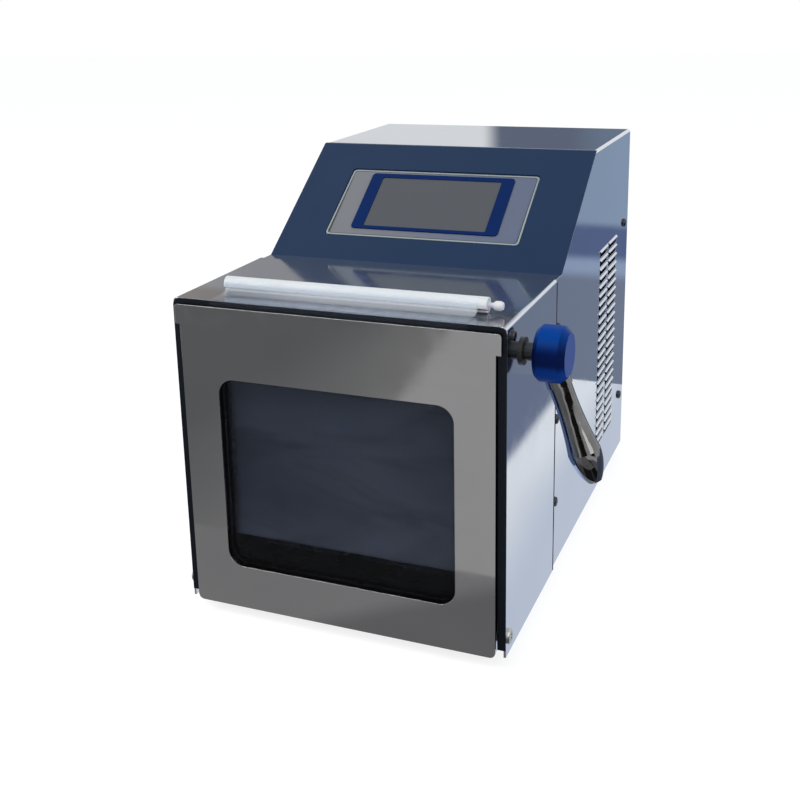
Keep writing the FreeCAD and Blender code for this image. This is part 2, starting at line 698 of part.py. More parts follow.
def rear_shell():
    shell = body("rear_shell")
    lap_y = bulkhead_back - d.lap
    foot_y = front + d.slope_foot + d.fascia_thick / sine(slope_angle)
    top_y = front + d.slope_top + d.fascia_thick / sine(slope_angle)
    pad(shell, "YZ", -shell_in, shell_in, outline(
        (lap_y, floor), (back, floor), (back, roof), (top_y, roof), (foot_y, ledge), (lap_y, ledge)))
    soften(shell, d.bend, edge_at(x=shell_in, z=roof))
    over = d.sheet
    shift = d.sheet * tangent(slope_angle / 2)
    inner = outline(
        (lap_y - over, floor - over), (back + over, floor - over), (back + over, roof - d.sheet),
        (top_y + shift, roof - d.sheet), (foot_y + shift, ledge - d.sheet), (lap_y - over, ledge - d.sheet))
    cut(shell, "YZ", -rear_in, rear_in, inner)
    pad(shell, "XY", floor, floor + d.sheet, mirrored(lambda side: rectangle(
        *spread(side, shell_in - d.lip, rear_in), bulkhead_back, panel_front)))
    seam, rear = side_screw_places()
    cut(shell, "YZ", -half, half, *[circle(y, z, d.screw_radius) for y, z in seam + rear])
    screen_cut = cut(shell, "XY", 0 * half, d.bend, rounded(
        -d.screen_width / 2 - d.cutout_gap, d.screen_width / 2 + d.cutout_gap,
        d.screen_rise - d.screen_height / 2 - d.cutout_gap,
        d.screen_rise + d.screen_height / 2 + d.cutout_gap, d.screen_corner))
    sketch = screen_cut.Profile[0]
    sketch.AttachmentOffset = FreeCAD.Placement(
        FreeCAD.Vector(), FreeCAD.Rotation(X_AXIS, slope_angle.value))
    bind(sketch, ".AttachmentOffset.Rotation.Angle", slope_angle)
    bind(sketch, ".AttachmentOffset.Base.y", front + d.slope_foot)
    bind(sketch, ".AttachmentOffset.Base.z", ledge)
    screen_cut.Reversed = False
    bind(screen_cut, "Length", d.fascia_thick + 2 * d.sheet)
    louvres(shell)


def louvres(shell):
    """Two columns of slots in both sides, each slot under a pressed lip."""
    rear_y = back - d.louvre_end - d.louvre_rear_length
    front_y = rear_y - d.louvre_gap - d.louvre_front_length
    columns = ((front_y, d.louvre_front_length), (rear_y, d.louvre_rear_length))
    low = floor + d.louvre_low
    top = low + d.louvre_slot
    slots = cut(shell, "YZ", -half, half, *[
        rectangle(y, y + run, low, top) for y, run in columns])
    features = [slots]
    for y, run in columns:
        features.append(pad(shell, "XZ", y, y + run, mirrored(lambda side: outline(
            (side * shell_in, top + d.louvre_root),
            (side * (shell_in + d.louvre_out), top - d.louvre_drop + d.louvre_tip),
            (side * (shell_in + d.louvre_out), top - d.louvre_drop),
            (side * shell_in, top)))))
    pattern = shell.newObject("PartDesign::LinearPattern", "louvre_pattern")
    pattern.Originals = features
    up = next(item for item in shell.Origin.OriginFeatures if item.Role == "Z_Axis")
    pattern.Direction = (up, [""])
    bind(pattern, "Length", d.louvre_pitch * (d.louvre_rows - 1))
    bind(pattern, "Occurrences", d.louvre_rows)
    shell.Tip = pattern


def base_plate():
    plate = body("base_plate")
    pad(plate, "XY", floor + d.sheet, plate_top, rectangle(
        -rear_in + d.assembly_gap, rear_in - d.assembly_gap, front + d.lip_start, panel_front))
    cut(plate, "XY", floor + d.sheet, plate_top, *[circle(x, y, d.screw_radius) for x, y in foot_places()])


def bulkhead():
    """The wall between the blending chamber and the drive, flanged back along both sides."""
    wall = body("bulkhead")
    pad(wall, "XZ", bulkhead_front, bulkhead_back, rectangle(
        -rear_in, rear_in, plate_top, ledge - d.sheet))
    pad(wall, "XZ", bulkhead_back, bulkhead_back + d.flange, mirrored(lambda side: rectangle(
        *spread(side, rear_in - d.base_thick, rear_in), plate_top, ledge - d.sheet - d.flange)))
    seam, _ = side_screw_places()
    cut(wall, "YZ", -half, half, *[circle(y, z, d.screw_radius) for y, z in seam])
    cut(wall, "XZ", bulkhead_front, bulkhead_back, mirrored(
        lambda side: circle(side * paddle_offset, crank_z, d.bush_radius)))


def rear_panel():
    panel = body("rear_panel")
    pad(panel, "XZ", panel_front, panel_back, rectangle(-rear_in, rear_in, floor, roof - d.sheet))
    pad(panel, "XZ", panel_front - d.flange - d.rear_screw_ahead / 2, panel_front, mirrored(
        lambda side: rectangle(*spread(side, rear_in - d.sheet, rear_in),
                               plate_top + d.assembly_gap, roof - d.sheet - d.flange)))
    _, rear = side_screw_places()
    cut(panel, "YZ", -half, half, *[circle(y, z, d.screw_radius) for y, z in rear])
    inlet_x = -d.inlet_place
    switch_x = -d.switch_place
    centre_z = floor + d.inlet_rise
    cut(panel, "XZ", panel_front, panel_back,
        rectangle(inlet_x - d.inlet_width / 2, inlet_x + d.inlet_width / 2,
                  centre_z - d.inlet_height / 2, centre_z + d.inlet_height / 2),
        rectangle(switch_x - d.switch_width / 2, switch_x + d.switch_width / 2,
                  centre_z - d.switch_height / 2, centre_z + d.switch_height / 2),
        circle(d.fuse_place, centre_z, d.fuse_body))


def case_screws():
    """Pan-head screws in both sides of the rear shell, with one dome head at each front corner."""
    seam, rear = side_screw_places()
    places = [(y, z, shell_in) for y, z in seam + rear]
    places.append((front + d.dome_depth, deck - d.dome_drop, half))
    pieces = []
    for side in side_signs:
        for y, z, face in places:
            head = along_x("head", side * face, y, z, d.screw_head, d.screw_head_thick, side)
            start = side * (face - d.screw_length)
            shank = along_x("shank", start, y, z, d.screw_radius, d.screw_length, side)
            pieces.append(joined("screw", head, shank))
    group("case_screws", *pieces)


def feet():
    foot_top = floor + d.sheet
    pads = []
    screws = []
    for x, y in foot_places():
        rubber = DOC.addObject("Part::Cone", "foot_rubber")
        bind(rubber, "Radius1", d.foot_radius)
        bind(rubber, "Radius2", d.foot_upper)
        bind(rubber, "Height", foot_top)
        place(rubber, x, y, 0)
        pocket = cylinder("foot_pocket", x, y, 0, d.foot_pocket, d.foot_pocket_depth)
        bore = cylinder("foot_bore", x, y, 0, d.screw_radius, foot_top)
        pads.append(removed("foot", rubber, joined("foot_hole", pocket, bore)))
        head = cylinder("foot_screw_head", x, y, d.foot_pocket_depth - d.screw_head_thick,
                        d.screw_head, d.screw_head_thick)
        shank = cylinder("foot_screw_shank", x, y, d.foot_pocket_depth, d.screw_radius,
                         plate_top + d.screw_head_thick - d.foot_pocket_depth)
        screws.append(joined("foot_screw", head, shank))
    group("rubber_feet", *pads)
    group("foot_screws", *screws)


# Controls on the slope
def on_slope(target):
    return place(target, 0, front + d.slope_foot, ledge, X_AXIS, slope_angle)


def slope_frame(label, low, high, width, height, rise, corner):
    """A plate with round corners on the slope and the screen's opening through it."""
    plate = body(label)
    pad(plate, "XY", low, high, rounded(
        -width / 2, width / 2, rise - height / 2, rise + height / 2, corner))
    cut(plate, "XY", low, high, rounded(
        -d.screen_width / 2, d.screen_width / 2,
        d.screen_rise - d.screen_height / 2, d.screen_rise + d.screen_height / 2, d.screen_corner))
    return on_slope(plate)


def controls():
    fascia = body("control_fascia")
    bevel = d.fascia_thick / tangent(slope_angle)
    pad(fascia, "YZ", -shell_in, shell_in, outline(
        (0 * half, 0 * half), (bevel, -d.fascia_thick),
        (slope_length + bevel, -d.fascia_thick), (slope_length, 0 * half)))
    cut(fascia, "XY", -d.fascia_thick, 0 * half, rounded(
        -d.label_width / 2 - d.cutout_gap, d.label_width / 2 + d.cutout_gap,
        d.label_rise - d.label_height / 2 - d.cutout_gap,
        d.label_rise + d.label_height / 2 + d.cutout_gap, d.label_corner))
    on_slope(fascia)
    label_top = -d.fascia_thick + d.label_thick
    bezel_top = label_top + d.bezel_thick
    slope_frame("label_plate", -d.fascia_thick, label_top,
                d.label_width, d.label_height, d.label_rise, d.label_corner)
    slope_frame("screen_bezel", label_top, bezel_top,
                d.bezel_width, d.bezel_height, d.bezel_rise, d.bezel_corner)
    under = -d.fascia_thick - d.sheet
    glass = body("screen_glass")
    pad(glass, "XY", under, bezel_top - d.screen_recess, rounded(
        -d.screen_width / 2, d.screen_width / 2,
        d.screen_rise - d.screen_height / 2, d.screen_rise + d.screen_height / 2, d.screen_corner))
    on_slope(glass)
    module = body("display_module")
    module_back = under - d.module_thick
    pad(module, "XY", module_back, under, rounded(
        -d.module_width / 2, d.module_width / 2, d.screen_rise - d.module_height / 2,
        d.screen_rise + d.module_height / 2, d.screen_corner))
    post_x = d.module_width / 2 - d.post_inset
    post_y = d.module_height / 2 - d.post_inset
    pad(module, "XY", module_back - d.board_post, module_back, *[
        circle(sx * post_x, d.screen_rise + sy * post_y, d.post_radius)
        for sx in side_signs for sy in side_signs])
    on_slope(module)
    board = body("control_board")
    board_top = module_back - d.board_post
    board_back = board_top - d.board_thick
    pad(board, "XY", board_back, board_top, rectangle(
        -d.board_width / 2, d.board_width / 2, d.screen_rise - d.board_height / 2,
        d.screen_rise + d.board_height / 2))
    pad(board, "XY", board_back - d.chip_height, board_back,
        rectangle(-d.chip_side / 2, d.chip_side / 2, d.screen_rise - d.chip_side / 2,
                  d.screen_rise + d.chip_side / 2),
        *[rectangle(side * d.chip_side * 2 - d.chip_side / 2, side * d.chip_side * 2 + d.chip_side / 2,
                    d.screen_rise + d.chip_side, d.screen_rise + d.chip_side * 3 / 2)
          for side in side_signs])
    on_slope(board)


# Chamber
def chamber_liner():
    liner = body("chamber_liner")
    low = chamber_low
    top = chamber_high
    outer = chamber_half + d.sheet
    face = front + d.liner_depth
    pad(liner, "XZ", face, face + d.sheet, outline(
        (-shell_in, low - d.sheet), (shell_in, low - d.sheet), (shell_in, top + d.sheet),
        (chamber_half, top + d.sheet), (chamber_half, ledge - d.assembly_gap),
        (-chamber_half, ledge - d.assembly_gap), (-chamber_half, top + d.sheet),
        (-shell_in, top + d.sheet)))
    pad(liner, "XZ", face, liner_back, rounded(
        -outer, outer, low - d.sheet, top + d.sheet, d.chamber_corner + d.sheet))
    cut(liner, "XZ", face, front + d.chamber_back, rounded(
        -chamber_half, chamber_half, low, top, d.chamber_corner))
    cut(liner, "XZ", front + d.chamber_back, liner_back, mirrored(
        lambda side: circle(side * paddle_offset, crank_z, d.seal_radius)))


def edge_gasket():
    """A rubber strip over the front edge of the case: both sides and the top."""
    strip = body("edge_gasket")
    inner = half - d.band_width
    inner_top = deck - d.band_top
    corner = d.band_corner
    pad(strip, "XZ", front - d.band_ahead, front, outline(
        (-half, floor + d.band_low), (-inner, floor + d.band_low), (-inner, inner_top),
        (inner, inner_top), (inner, floor + d.band_low), (half, floor + d.band_low),
        (half, deck - corner, corner), (half - corner, deck), (-half + corner, deck, corner),
        (-half, deck - corner)))
    low = floor + d.band_lip_low
    lip_half = shell_in
    pad(strip, "XZ", front, front + d.band_lip, outline(
        (-lip_half, low), (-inner, low), (-inner, inner_top), (inner, inner_top), (inner, low),
        (lip_half, low), (lip_half, ledge - d.bend + d.sheet), (lip_half - d.bend + d.sheet, ledge),
        (-lip_half + d.bend - d.sheet, ledge), (-lip_half, ledge - d.bend + d.sheet)))


# Door
def window_hole():
    return rounded(-window_half, window_half, window_low, window_high, d.window_corner)


def door_skin():
    skin = body("door_skin")
    top = door_top
    ear = door_top - d.door_ear_height
    wide = half - d.door_ear_margin
    corner = d.door_corner
    small = corner / 2
    pad(skin, "XZ", skin_front, skin_back, outline(
        (-door_half + corner, floor), (door_half - corner, floor, corner),
        (door_half, floor + corner), (door_half, ear), (wide, ear),
        (wide, top - small, small), (wide - small, top), (-wide + small, top, small),
        (-wide, top - small), (-wide, ear), (-door_half, ear),
        (-door_half, floor + corner, corner)))
    flange_in = door_half - d.sheet
    pad(skin, "XZ", skin_back, skin_front + d.door_flange,
        mirrored(lambda side: rectangle(*spread(side, flange_in, door_half),
                                        floor + corner, deck - d.flange_drop)),
        rectangle(-door_half + corner, door_half - corner, floor, floor + d.sheet))
    cut(skin, "XZ", skin_front, skin_back, window_hole())
    cut(skin, "YZ", -door_half, door_half, circle(
        hinge_y, hinge_z, d.hinge_radius + d.sheet / 2))


def door_window():
    lap_half = window_half + d.glass_lap
    low = window_low - d.glass_lap
    high = window_high + d.glass_lap
    corner = d.window_corner + d.glass_lap
    glass = body("window_glass")
    pad(glass, "XZ", skin_back, glass_back, rounded(-lap_half, lap_half, low, high, corner))
    frame = body("window_gasket")
    rim = d.gasket_width
    pad(frame, "XZ", skin_back, glass_back, rounded(
        -lap_half - rim, lap_half + rim, low - rim, high + rim, corner + rim))
    cut(frame, "XZ", skin_back, glass_back, rounded(-lap_half, lap_half, low, high, corner))
    backing = body("door_backing")
    wide = door_half - d.sheet - d.door_play
    notch = wide - d.hinge_block - d.door_play
    low_edge = floor + d.backing_low
    notch_top = hinge_z + d.hinge_block_half + d.door_play
    pad(backing, "XZ", glass_back, backing_back, outline(
        (-notch, low_edge), (notch, low_edge), (notch, notch_top), (wide, notch_top),
        (wide, backing_high), (-wide, backing_high), (-wide, notch_top), (-notch, notch_top)))
    cut(backing, "XZ", glass_back, backing_back, window_hole())


def backing_screws():
    """Pan heads on the inner panel, round the window, with shanks through the panel to the skin."""
    x_place = window_half + d.glass_lap + d.gasket_width + d.screw_head + d.door_play
    rises = (window_low + d.glass_lap, (window_low + window_high) / 2, window_high - d.glass_lap)
    pieces = []
    for side in side_signs:
        for rise in rises:
            head = along_y("backing_head", side * x_place, backing_back, rise,
                           d.screw_head, d.screw_head_thick)
            shank = along_y("backing_shank", side * x_place, skin_back, rise,
                            d.screw_radius, d.glass_thick)
            middle = along_y("backing_middle", side * x_place, glass_back, rise,
                             d.screw_radius, d.backing_thick)
            pieces.append(joined("backing_screw", head, shank, middle))
    holes = DOC.getObject("door_backing")
    cut(holes, "XZ", glass_back, backing_back, *[
        circle(side * x_place, rise, d.screw_radius) for side in side_signs for rise in rises])
    group("door_screws", *pieces)


def hinge():
    blocks = []
    pins = []
    spacers = []
    block_in = door_half - d.sheet - d.hinge_block
    for side in side_signs:
        x0, x1 = spread(side, block_in, door_half - d.sheet)
        nylon = block("hinge_nylon", x0, x1, skin_back, skin_front + d.door_flange,
                      hinge_z - d.hinge_block_half, hinge_z + d.hinge_block_half)
        bore = along_x("hinge_bore", x0, hinge_y, hinge_z, d.hinge_radius + d.running_gap, d.hinge_block)
        blocks.append(removed("hinge_block", nylon, bore))
        shank = along_x("hinge_shank", side * (block_in + d.door_play), hinge_y, hinge_z,
                        d.hinge_radius, half - block_in - d.door_play, side)
        head = along_x("hinge_head", side * half, hinge_y, hinge_z, d.hinge_head,
                       d.hinge_head_thick, side)
        pins.append(joined("hinge_pin", shank, head))
        inner = door_half + d.spacer_play
        washer = along_x("spacer_ring", side * inner, hinge_y, hinge_z, d.spacer_radius,
                         shell_in - inner, side)
        hole = along_x("spacer_hole", side * inner, hinge_y, hinge_z, d.hinge_radius,
                       shell_in - inner, side)
        spacers.append(removed("spacer", washer, hole))
    group("hinge_blocks", *blocks)
    group("hinge_pins", *pins)
    group("hinge_spacers", *spacers)


def strikers():
    """A bracket behind each upper corner of the door, with two ears and a cross pin for the hook."""
    ear_in = hook_centre - d.hook_thick / 2 - d.ear_gap - d.ear_thick
    ear_out = hook_centre + d.hook_thick / 2 + d.ear_gap + d.ear_thick
    reach = striker_y + d.striker_radius + d.ear_overhang
    low = striker_z - d.ear_height / 2
    high = backing_high
    brackets = []
    pins = []
    for side in side_signs:
        x0, x1 = spread(side, ear_in, ear_out)
        plate = block("striker_plate", x0, x1, backing_back, backing_back + d.ear_thick, low, high)
        inner = block("striker_inner", x0, x0 + d.ear_thick, backing_back, reach, low, high)
        outer = block("striker_outer", x1 - d.ear_thick, x1, backing_back, reach, low, high)
        hole = along_x("striker_hole", x0, striker_y, striker_z, d.striker_radius, ear_out - ear_in)
        whole = joined("striker_whole", plate, inner, outer)
        brackets.append(removed("striker_bracket", whole, hole))
        pins.append(along_x("striker_pin", x0, striker_y, striker_z, d.striker_radius, ear_out - ear_in))
    group("striker_brackets", *brackets)
    group("striker_pins", *pins)


# Lock
def lock_shaft():
    shaft = body("lock_shaft")
    end = half + d.hub_gap + d.hub_bore
    turn(shaft, "XZ", "H_Axis", rectangle(-shell_in + d.spacer_play, end, 0 * half, d.lock_radius))
    place(shaft, 0, lock_y, lock_z)


def lock_hook(side, label):
    """Drawn with the jaw round the striker pin, then turned back by the last part of the lock's turn."""
    reach = length_of(d.striker_ahead, d.striker_under)
    pin_angle = angle_of(d.striker_under, d.striker_ahead)
    jaw = d.striker_radius + d.jaw_play
    shut = pin_angle - jaw / reach * Size(math.degrees(1), "57.29578")
    tip = pin_angle + d.lock_turn / 3
    inner = reach - jaw
    outer = d.hook_reach
    back_angle = shut - d.lock_turn

    def at(radius, angle):
        return (-radius * cosine(angle), -radius * sine(angle))

    hook = body(label)
    x0 = side * hook_centre - d.hook_thick / 2
    pad(hook, "YZ", x0, x0 + d.hook_thick, circle(0 * half, 0 * half, d.hook_boss))
    mouth = outer - d.hook_nose
    a, b, c, e = at(inner, tip), at(inner, shut), at(mouth, shut), at(mouth, tip)
    f, g = at(outer, tip), at(outer, back_angle)
    h = at(d.hook_boss * 3 / 4, back_angle)
    k = at(d.hook_boss * 3 / 4, tip)
    pad(hook, "YZ", x0, x0 + d.hook_thick, outline(
        (*a, -inner), b, (*c, mouth), e, (*f, -outer), g, h, k))
    cut(hook, "YZ", x0, x0 + d.hook_thick, circle(0 * half, 0 * half, d.lock_radius))
    place(hook, 0, lock_y, lock_z, X_AXIS, -d.lock_turn)


def lock_blocks():
    blocks = []
    bushes = []
    for side in side_signs:
        x0, x1 = spread(side, shell_in - d.block_width, shell_in)
        solid = block("lock_solid", x0, x1, lock_y - d.block_depth / 2, lock_y + d.block_depth / 2,
                      lock_z - d.block_height / 2, lock_z + d.block_height / 2)
        bore = along_x("lock_bore", x0, lock_y, lock_z, d.lock_bush, d.block_width)
        blocks.append(removed("lock_block", solid, bore))
    inner = shell_in - d.block_width
    left = along_x("left_bush", -shell_in, lock_y, lock_z, d.lock_bush, d.block_width)
    left_bore = along_x("left_bore", -shell_in, lock_y, lock_z, d.lock_radius + d.running_gap,
                        d.block_width)
    bushes.append(removed("lock_bush_left", left, left_bore))
    right = along_x("right_bush", inner, lock_y, lock_z, d.lock_bush, half - inner)
    rim = along_x("right_rim", half, lock_y, lock_z, d.bush_flange, d.bush_flange_thick)
    right_bore = along_x("right_bore", inner, lock_y, lock_z, d.lock_radius + d.running_gap,
                         half - inner + d.bush_flange_thick)
    bushes.append(removed("lock_bush_right", joined("right_solid", right, rim), right_bore))
    group("lock_blocks", *blocks)
    group("lock_bushes", *bushes)


def lock_hub():
    hub = body("lock_hub")
    start = half + d.hub_gap
    end = start + d.hub_length
    turn(hub, "XZ", "H_Axis", outline(
        (start, d.lock_radius), (start, d.hub_inner), (start + d.hub_inner_bevel, d.hub_radius),
        (end - d.hub_outer_bevel, d.hub_radius), (end, d.hub_outer), (end, 0 * half),
        (start + d.hub_bore, 0 * half), (start + d.hub_bore, d.lock_radius)))
    place(hub, 0, lock_y, lock_z)
    seat = sketch_on(hub, "XY", d.grip_start, [circle(0 * half, 0 * half, d.grip_collar)])
    seat.AttachmentOffset = FreeCAD.Placement(
        FreeCAD.Vector(), FreeCAD.Rotation(Y_AXIS, 180 - d.grip_lean.value))
    bind(seat, ".AttachmentOffset.Rotation.Angle", 180 - d.grip_lean)
    grip_x = half + d.grip_place
    bind(seat, ".AttachmentOffset.Base.x", grip_x + d.grip_start * sine(d.grip_lean))
    bind(seat, ".AttachmentOffset.Base.z", -d.grip_start * cosine(d.grip_lean))
    pocket = hub.newObject("PartDesign::Pocket", "grip_seat")
    pocket.Profile = seat
    pocket.Reversed = True
    bind(pocket, "Length", d.hub_radius)


def lock_handle():
    """A turned machine handle: collar, slim neck, bulge and rounded tip, seated in the hub."""
    grip = body("lock_handle")
    start = d.grip_start
    tip = d.grip_end
    collar_end = start + d.grip_collar_length
    bulge = tip - d.grip_bulge_back
    rise = d.grip_bulge - d.grip_neck
    run = bulge - collar_end
    flank = (run * run + rise * rise) / (2 * rise)
    nose_rise = d.grip_bulge - d.grip_nose
    nose_run = d.grip_bulge_back
    nose = (nose_run * nose_run + nose_rise * nose_rise) / (2 * nose_rise)
    turn(grip, "XZ", "V_Axis", outline(
        (0 * half, start), (d.grip_collar, start), (d.grip_collar, collar_end),
        (d.grip_neck, collar_end, -flank * 2 / 3), (d.grip_bulge, bulge, nose),
        (d.grip_nose, tip), (0 * half, tip)))
    place(grip, half + d.grip_place, lock_y, lock_z, Y_AXIS, 180 - d.grip_lean)


# Paddles and drive
def paddle(side, label):
    plate = body(label)
    x = side * paddle_offset
    face = front + d.paddle_depth
    pad(plate, "XZ", face, paddle_back, rounded(
        *spread(side, paddle_inner, paddle_outer), chamber_low + d.paddle_floor_gap,
        chamber_high - d.paddle_roof_gap, d.paddle_corner))
    soften(plate, d.paddle_thick / 4, lambda edge: abs(edge.BoundBox.YMax - face.value) < 1e-3
           and abs(edge.BoundBox.YMin - face.value) < 1e-3)
    pad(plate, "XZ", paddle_back, paddle_back + d.paddle_boss_length,
        circle(x, crank_z, d.paddle_boss))
    cut(plate, "XZ", paddle_back, paddle_back + d.paddle_boss_length,
        circle(x, crank_z, d.rod_radius))


def paddle_rod(side, label):
    rod = body(label)
    end = crank_y - yoke_half
    turn(rod, "XY", "V_Axis", rectangle(0 * half, d.rod_radius, paddle_back, end))
    place(rod, side * paddle_offset, 0, crank_z)


def yoke(side, label):
    frame = body(label)
    x = side * paddle_offset
    slot_half = d.ring_radius + d.slot_play
    slot_rise = d.ring_radius + d.throw + d.slot_end_play
    pad(frame, "YZ", x - d.yoke_width / 2, x + d.yoke_width / 2, rounded(
        crank_y - yoke_half, crank_y + yoke_half, crank_z - slot_rise - d.yoke_wall_rise,
        crank_z + slot_rise + d.yoke_wall_rise, d.yoke_wall_depth))
    cut(frame, "YZ", x - d.yoke_width / 2, x + d.yoke_width / 2, rectangle(
        crank_y - slot_half, crank_y + slot_half, crank_z - slot_rise, crank_z + slot_rise))


def guides():
    block_front = liner_back
    guide_half = paddle_offset + d.seal_radius + d.guide_wall
    solid = body("guide_block")
    pad(solid, "XZ", block_front, bulkhead_front, rounded(
        -guide_half, guide_half, crank_z - d.guide_height / 2, crank_z + d.guide_height / 2,
        d.paddle_corner))
    cut(solid, "XZ", block_front, bulkhead_front, mirrored(
        lambda side: circle(side * paddle_offset, crank_z, d.bush_radius)))
    cut(solid, "XZ", block_front, block_front + d.seal_length, mirrored(
        lambda side: circle(side * paddle_offset, crank_z, d.seal_radius)))
    seal_front = front + d.chamber_back
    seal_end = block_front + d.seal_length
    bush_length = (bulkhead_back - seal_end - d.bush_gap) / 2
    bushes = []
    seals = []
    for side in side_signs:
        x = side * paddle_offset
        for name, y in (("front", seal_end), ("rear", bulkhead_back - bush_length)):
            ring = along_y(f"bush_{name}", x, y, crank_z, d.bush_radius, bush_length)
            bore = along_y(f"bush_bore_{name}", x, y, crank_z, d.rod_radius + d.running_gap,
                           bush_length)
            bushes.append(removed("rod_bush", ring, bore))
        ring = along_y("seal_ring", x, seal_front, crank_z, d.seal_radius, seal_end - seal_front)
        bore = along_y("seal_bore", x, seal_front, crank_z, d.rod_radius + d.running_gap,
                       seal_end - seal_front)
        seals.append(removed("rod_seal", ring, bore))
    group("rod_bushes", *bushes)
    group("rod_seals", *seals)


def crankshaft():
    """Two crank pins half a turn apart, each between a pair of round webs."""
    shaft = body("crankshaft")
    inner = web_inner
    outer = web_outer
    here = (crank_y, crank_z)
    left_end = -cheek_place - d.cheek_thick / 2 - d.web_gap
    right_end = pulley_place + d.pulley_width / 2
    pad(shaft, "YZ", -inner, inner, circle(*here, d.journal_radius))
    for side in side_signs:
        for edge in (inner - d.web_thick, outer):
            pad(shaft, "YZ", *spread(side, edge, edge + d.web_thick), circle(*here, d.web_radius))
        pad(shaft, "YZ", *spread(side, inner, outer),
            circle(crank_y, crank_z + side * d.throw, d.pin_radius))
    pad(shaft, "YZ", left_end, -outer - d.web_thick, circle(*here, d.journal_radius))
    pad(shaft, "YZ", outer + d.web_thick, right_end, circle(*here, d.journal_radius))
    rings = []
    for side in side_signs:
        x = side * paddle_offset - d.ring_width / 2
        z = crank_z + side * d.throw
        ring = along_x("eccentric_outer", x, crank_y, z, d.ring_radius, d.ring_width)
        hole = along_x("eccentric_hole", x, crank_y, z, d.pin_radius, d.ring_width)
        rings.append(removed("eccentric_ring", ring, hole))
    group("eccentric_bearings", *rings)


def drive_frame():
    """Three cheeks on one foot plate, with a bore for a bearing in each."""
    frame = body("drive_frame")
    top = crank_z + d.cheek_reach
    rear = crank_y + d.cheek_reach
    foot = plate_top + d.frame_foot
    foot_back = crank_y + d.frame_behind
    wide = cheek_place + d.cheek_thick / 2
    pad(frame, "XY", plate_top, foot, rectangle(-wide, wide, bulkhead_back, foot_back))
    for x in (-cheek_place, 0 * half, cheek_place):
        pad(frame, "YZ", x - d.cheek_thick / 2, x + d.cheek_thick / 2, outline(
            (bulkhead_back, foot), (foot_back, foot), (rear, crank_z),
            (rear, top - d.paddle_corner, d.paddle_corner), (rear - d.paddle_corner, top),
            (bulkhead_back, top)))
    cut(frame, "YZ", -wide, wide, circle(crank_y, crank_z, d.bearing_radius))
    rings = []
    for x in (-cheek_place, 0 * half, cheek_place):
        start = x - d.cheek_thick / 2
        ring = along_x("bearing_outer", start, crank_y, crank_z, d.bearing_radius, d.cheek_thick)
        hole = along_x("bearing_hole", start, crank_y, crank_z, d.journal_radius + d.running_gap,
                       d.cheek_thick)
        rings.append(removed("bearing_ring", ring, hole))
    group("crank_bearings", *rings)


def pulley(label, radius, bore, y, z):
    wheel = body(label)
    low = pulley_place - d.pulley_width / 2
    high = pulley_place + d.pulley_width / 2
    floor_radius = radius - d.groove_depth
    turn(wheel, "XZ", "H_Axis", outline(
        (low, bore), (high, bore), (high, radius), (pulley_place + d.groove_mouth / 2, radius),
        (pulley_place + d.groove_floor / 2, floor_radius),
        (pulley_place - d.groove_floor / 2, floor_radius),
        (pulley_place - d.groove_mouth / 2, radius), (low, radius)))
    place(wheel, 0, y, z)
    return wheel


def drive_belt():
    """A vee belt run round both pulleys, open run and tight run straight."""
    big = d.driven_radius.value - d.groove_depth.value + d.belt_gap.value
    small = d.drive_radius.value - d.groove_depth.value + d.belt_gap.value
    run = FreeCAD.Vector(0, motor_y.value - crank_y.value, motor_z.value - crank_z.value)
    along = FreeCAD.Vector(run).normalize()
    across = FreeCAD.Vector(0, -along.z, along.y)
    lean = math.asin((big - small) / run.Length)
    centre = FreeCAD.Vector(pulley_place.value, crank_y.value, crank_z.value)

    def rim(middle, radius, sign):
        out = along * math.sin(lean) + across * (sign * math.cos(lean))
        return middle + out * radius

    other = centre + run
    path = Part.Wire([
        Part.LineSegment(rim(centre, big, 1), rim(other, small, 1)).toShape(),
        Part.Arc(rim(other, small, 1), other + along * small, rim(other, small, -1)).toShape(),
        Part.LineSegment(rim(other, small, -1), rim(centre, big, -1)).toShape(),
        Part.Arc(rim(centre, big, -1), centre - along * big, rim(centre, big, 1)).toShape(),
    ])
    slant = (d.groove_mouth.value - d.groove_floor.value) / 2 / d.groove_depth.value
    inner_half = d.groove_floor.value / 2 - d.belt_gap.value
    outer_half = inner_half + slant * d.belt_height.value
    start = rim(centre, big, 1)
    out = along * math.sin(lean) + across * math.cos(lean)
    corners = [
        start + X_AXIS * -inner_half, start + X_AXIS * inner_half,
        start + X_AXIS * outer_half + out * d.belt_height.value,
        start - X_AXIS * outer_half + out * d.belt_height.value,
    ]
    section = Part.makePolygon(corners + corners[:1])
    belt = DOC.addObject("Part::Feature", "drive_belt")
    belt.Shape = path.makePipeShell([section], True, True, 1)
    finish(belt, "drive_belt")


def motor():
    can = body("drive_motor")
    low = -d.motor_length / 2
    high = d.motor_length / 2
    turn(can, "XZ", "H_Axis", outline(
        (low, 0 * half), (low, d.motor_bell), (low + d.motor_bell_length, d.motor_bell),
        (low + d.motor_bell_length, d.motor_radius), (high - d.motor_bell_length, d.motor_radius),
        (high - d.motor_bell_length, d.motor_bell), (high, d.motor_bell),
        (high, d.motor_shaft + d.running_gap), (0 * half, d.motor_shaft + d.running_gap),
        (0 * half, 0 * half)))
    place(can, 0, motor_y, motor_z)
    spindle = body("motor_shaft")
    turn(spindle, "XZ", "H_Axis", rectangle(
        d.motor_bell_length, pulley_place + d.pulley_width / 2, 0 * half, d.motor_shaft))
    place(spindle, 0, motor_y, motor_z)
    cradle = body("motor_cradle")
    lap_z = motor_z - d.motor_radius / 2
    pad(cradle, "YZ", -d.cradle_width / 2, d.cradle_width / 2, rectangle(
        motor_y - d.cradle_depth / 2, motor_y + d.cradle_depth / 2, plate_top, lap_z))
    cut(cradle, "YZ", -d.cradle_width / 2, d.cradle_width / 2, circle(motor_y, motor_z, d.motor_radius))


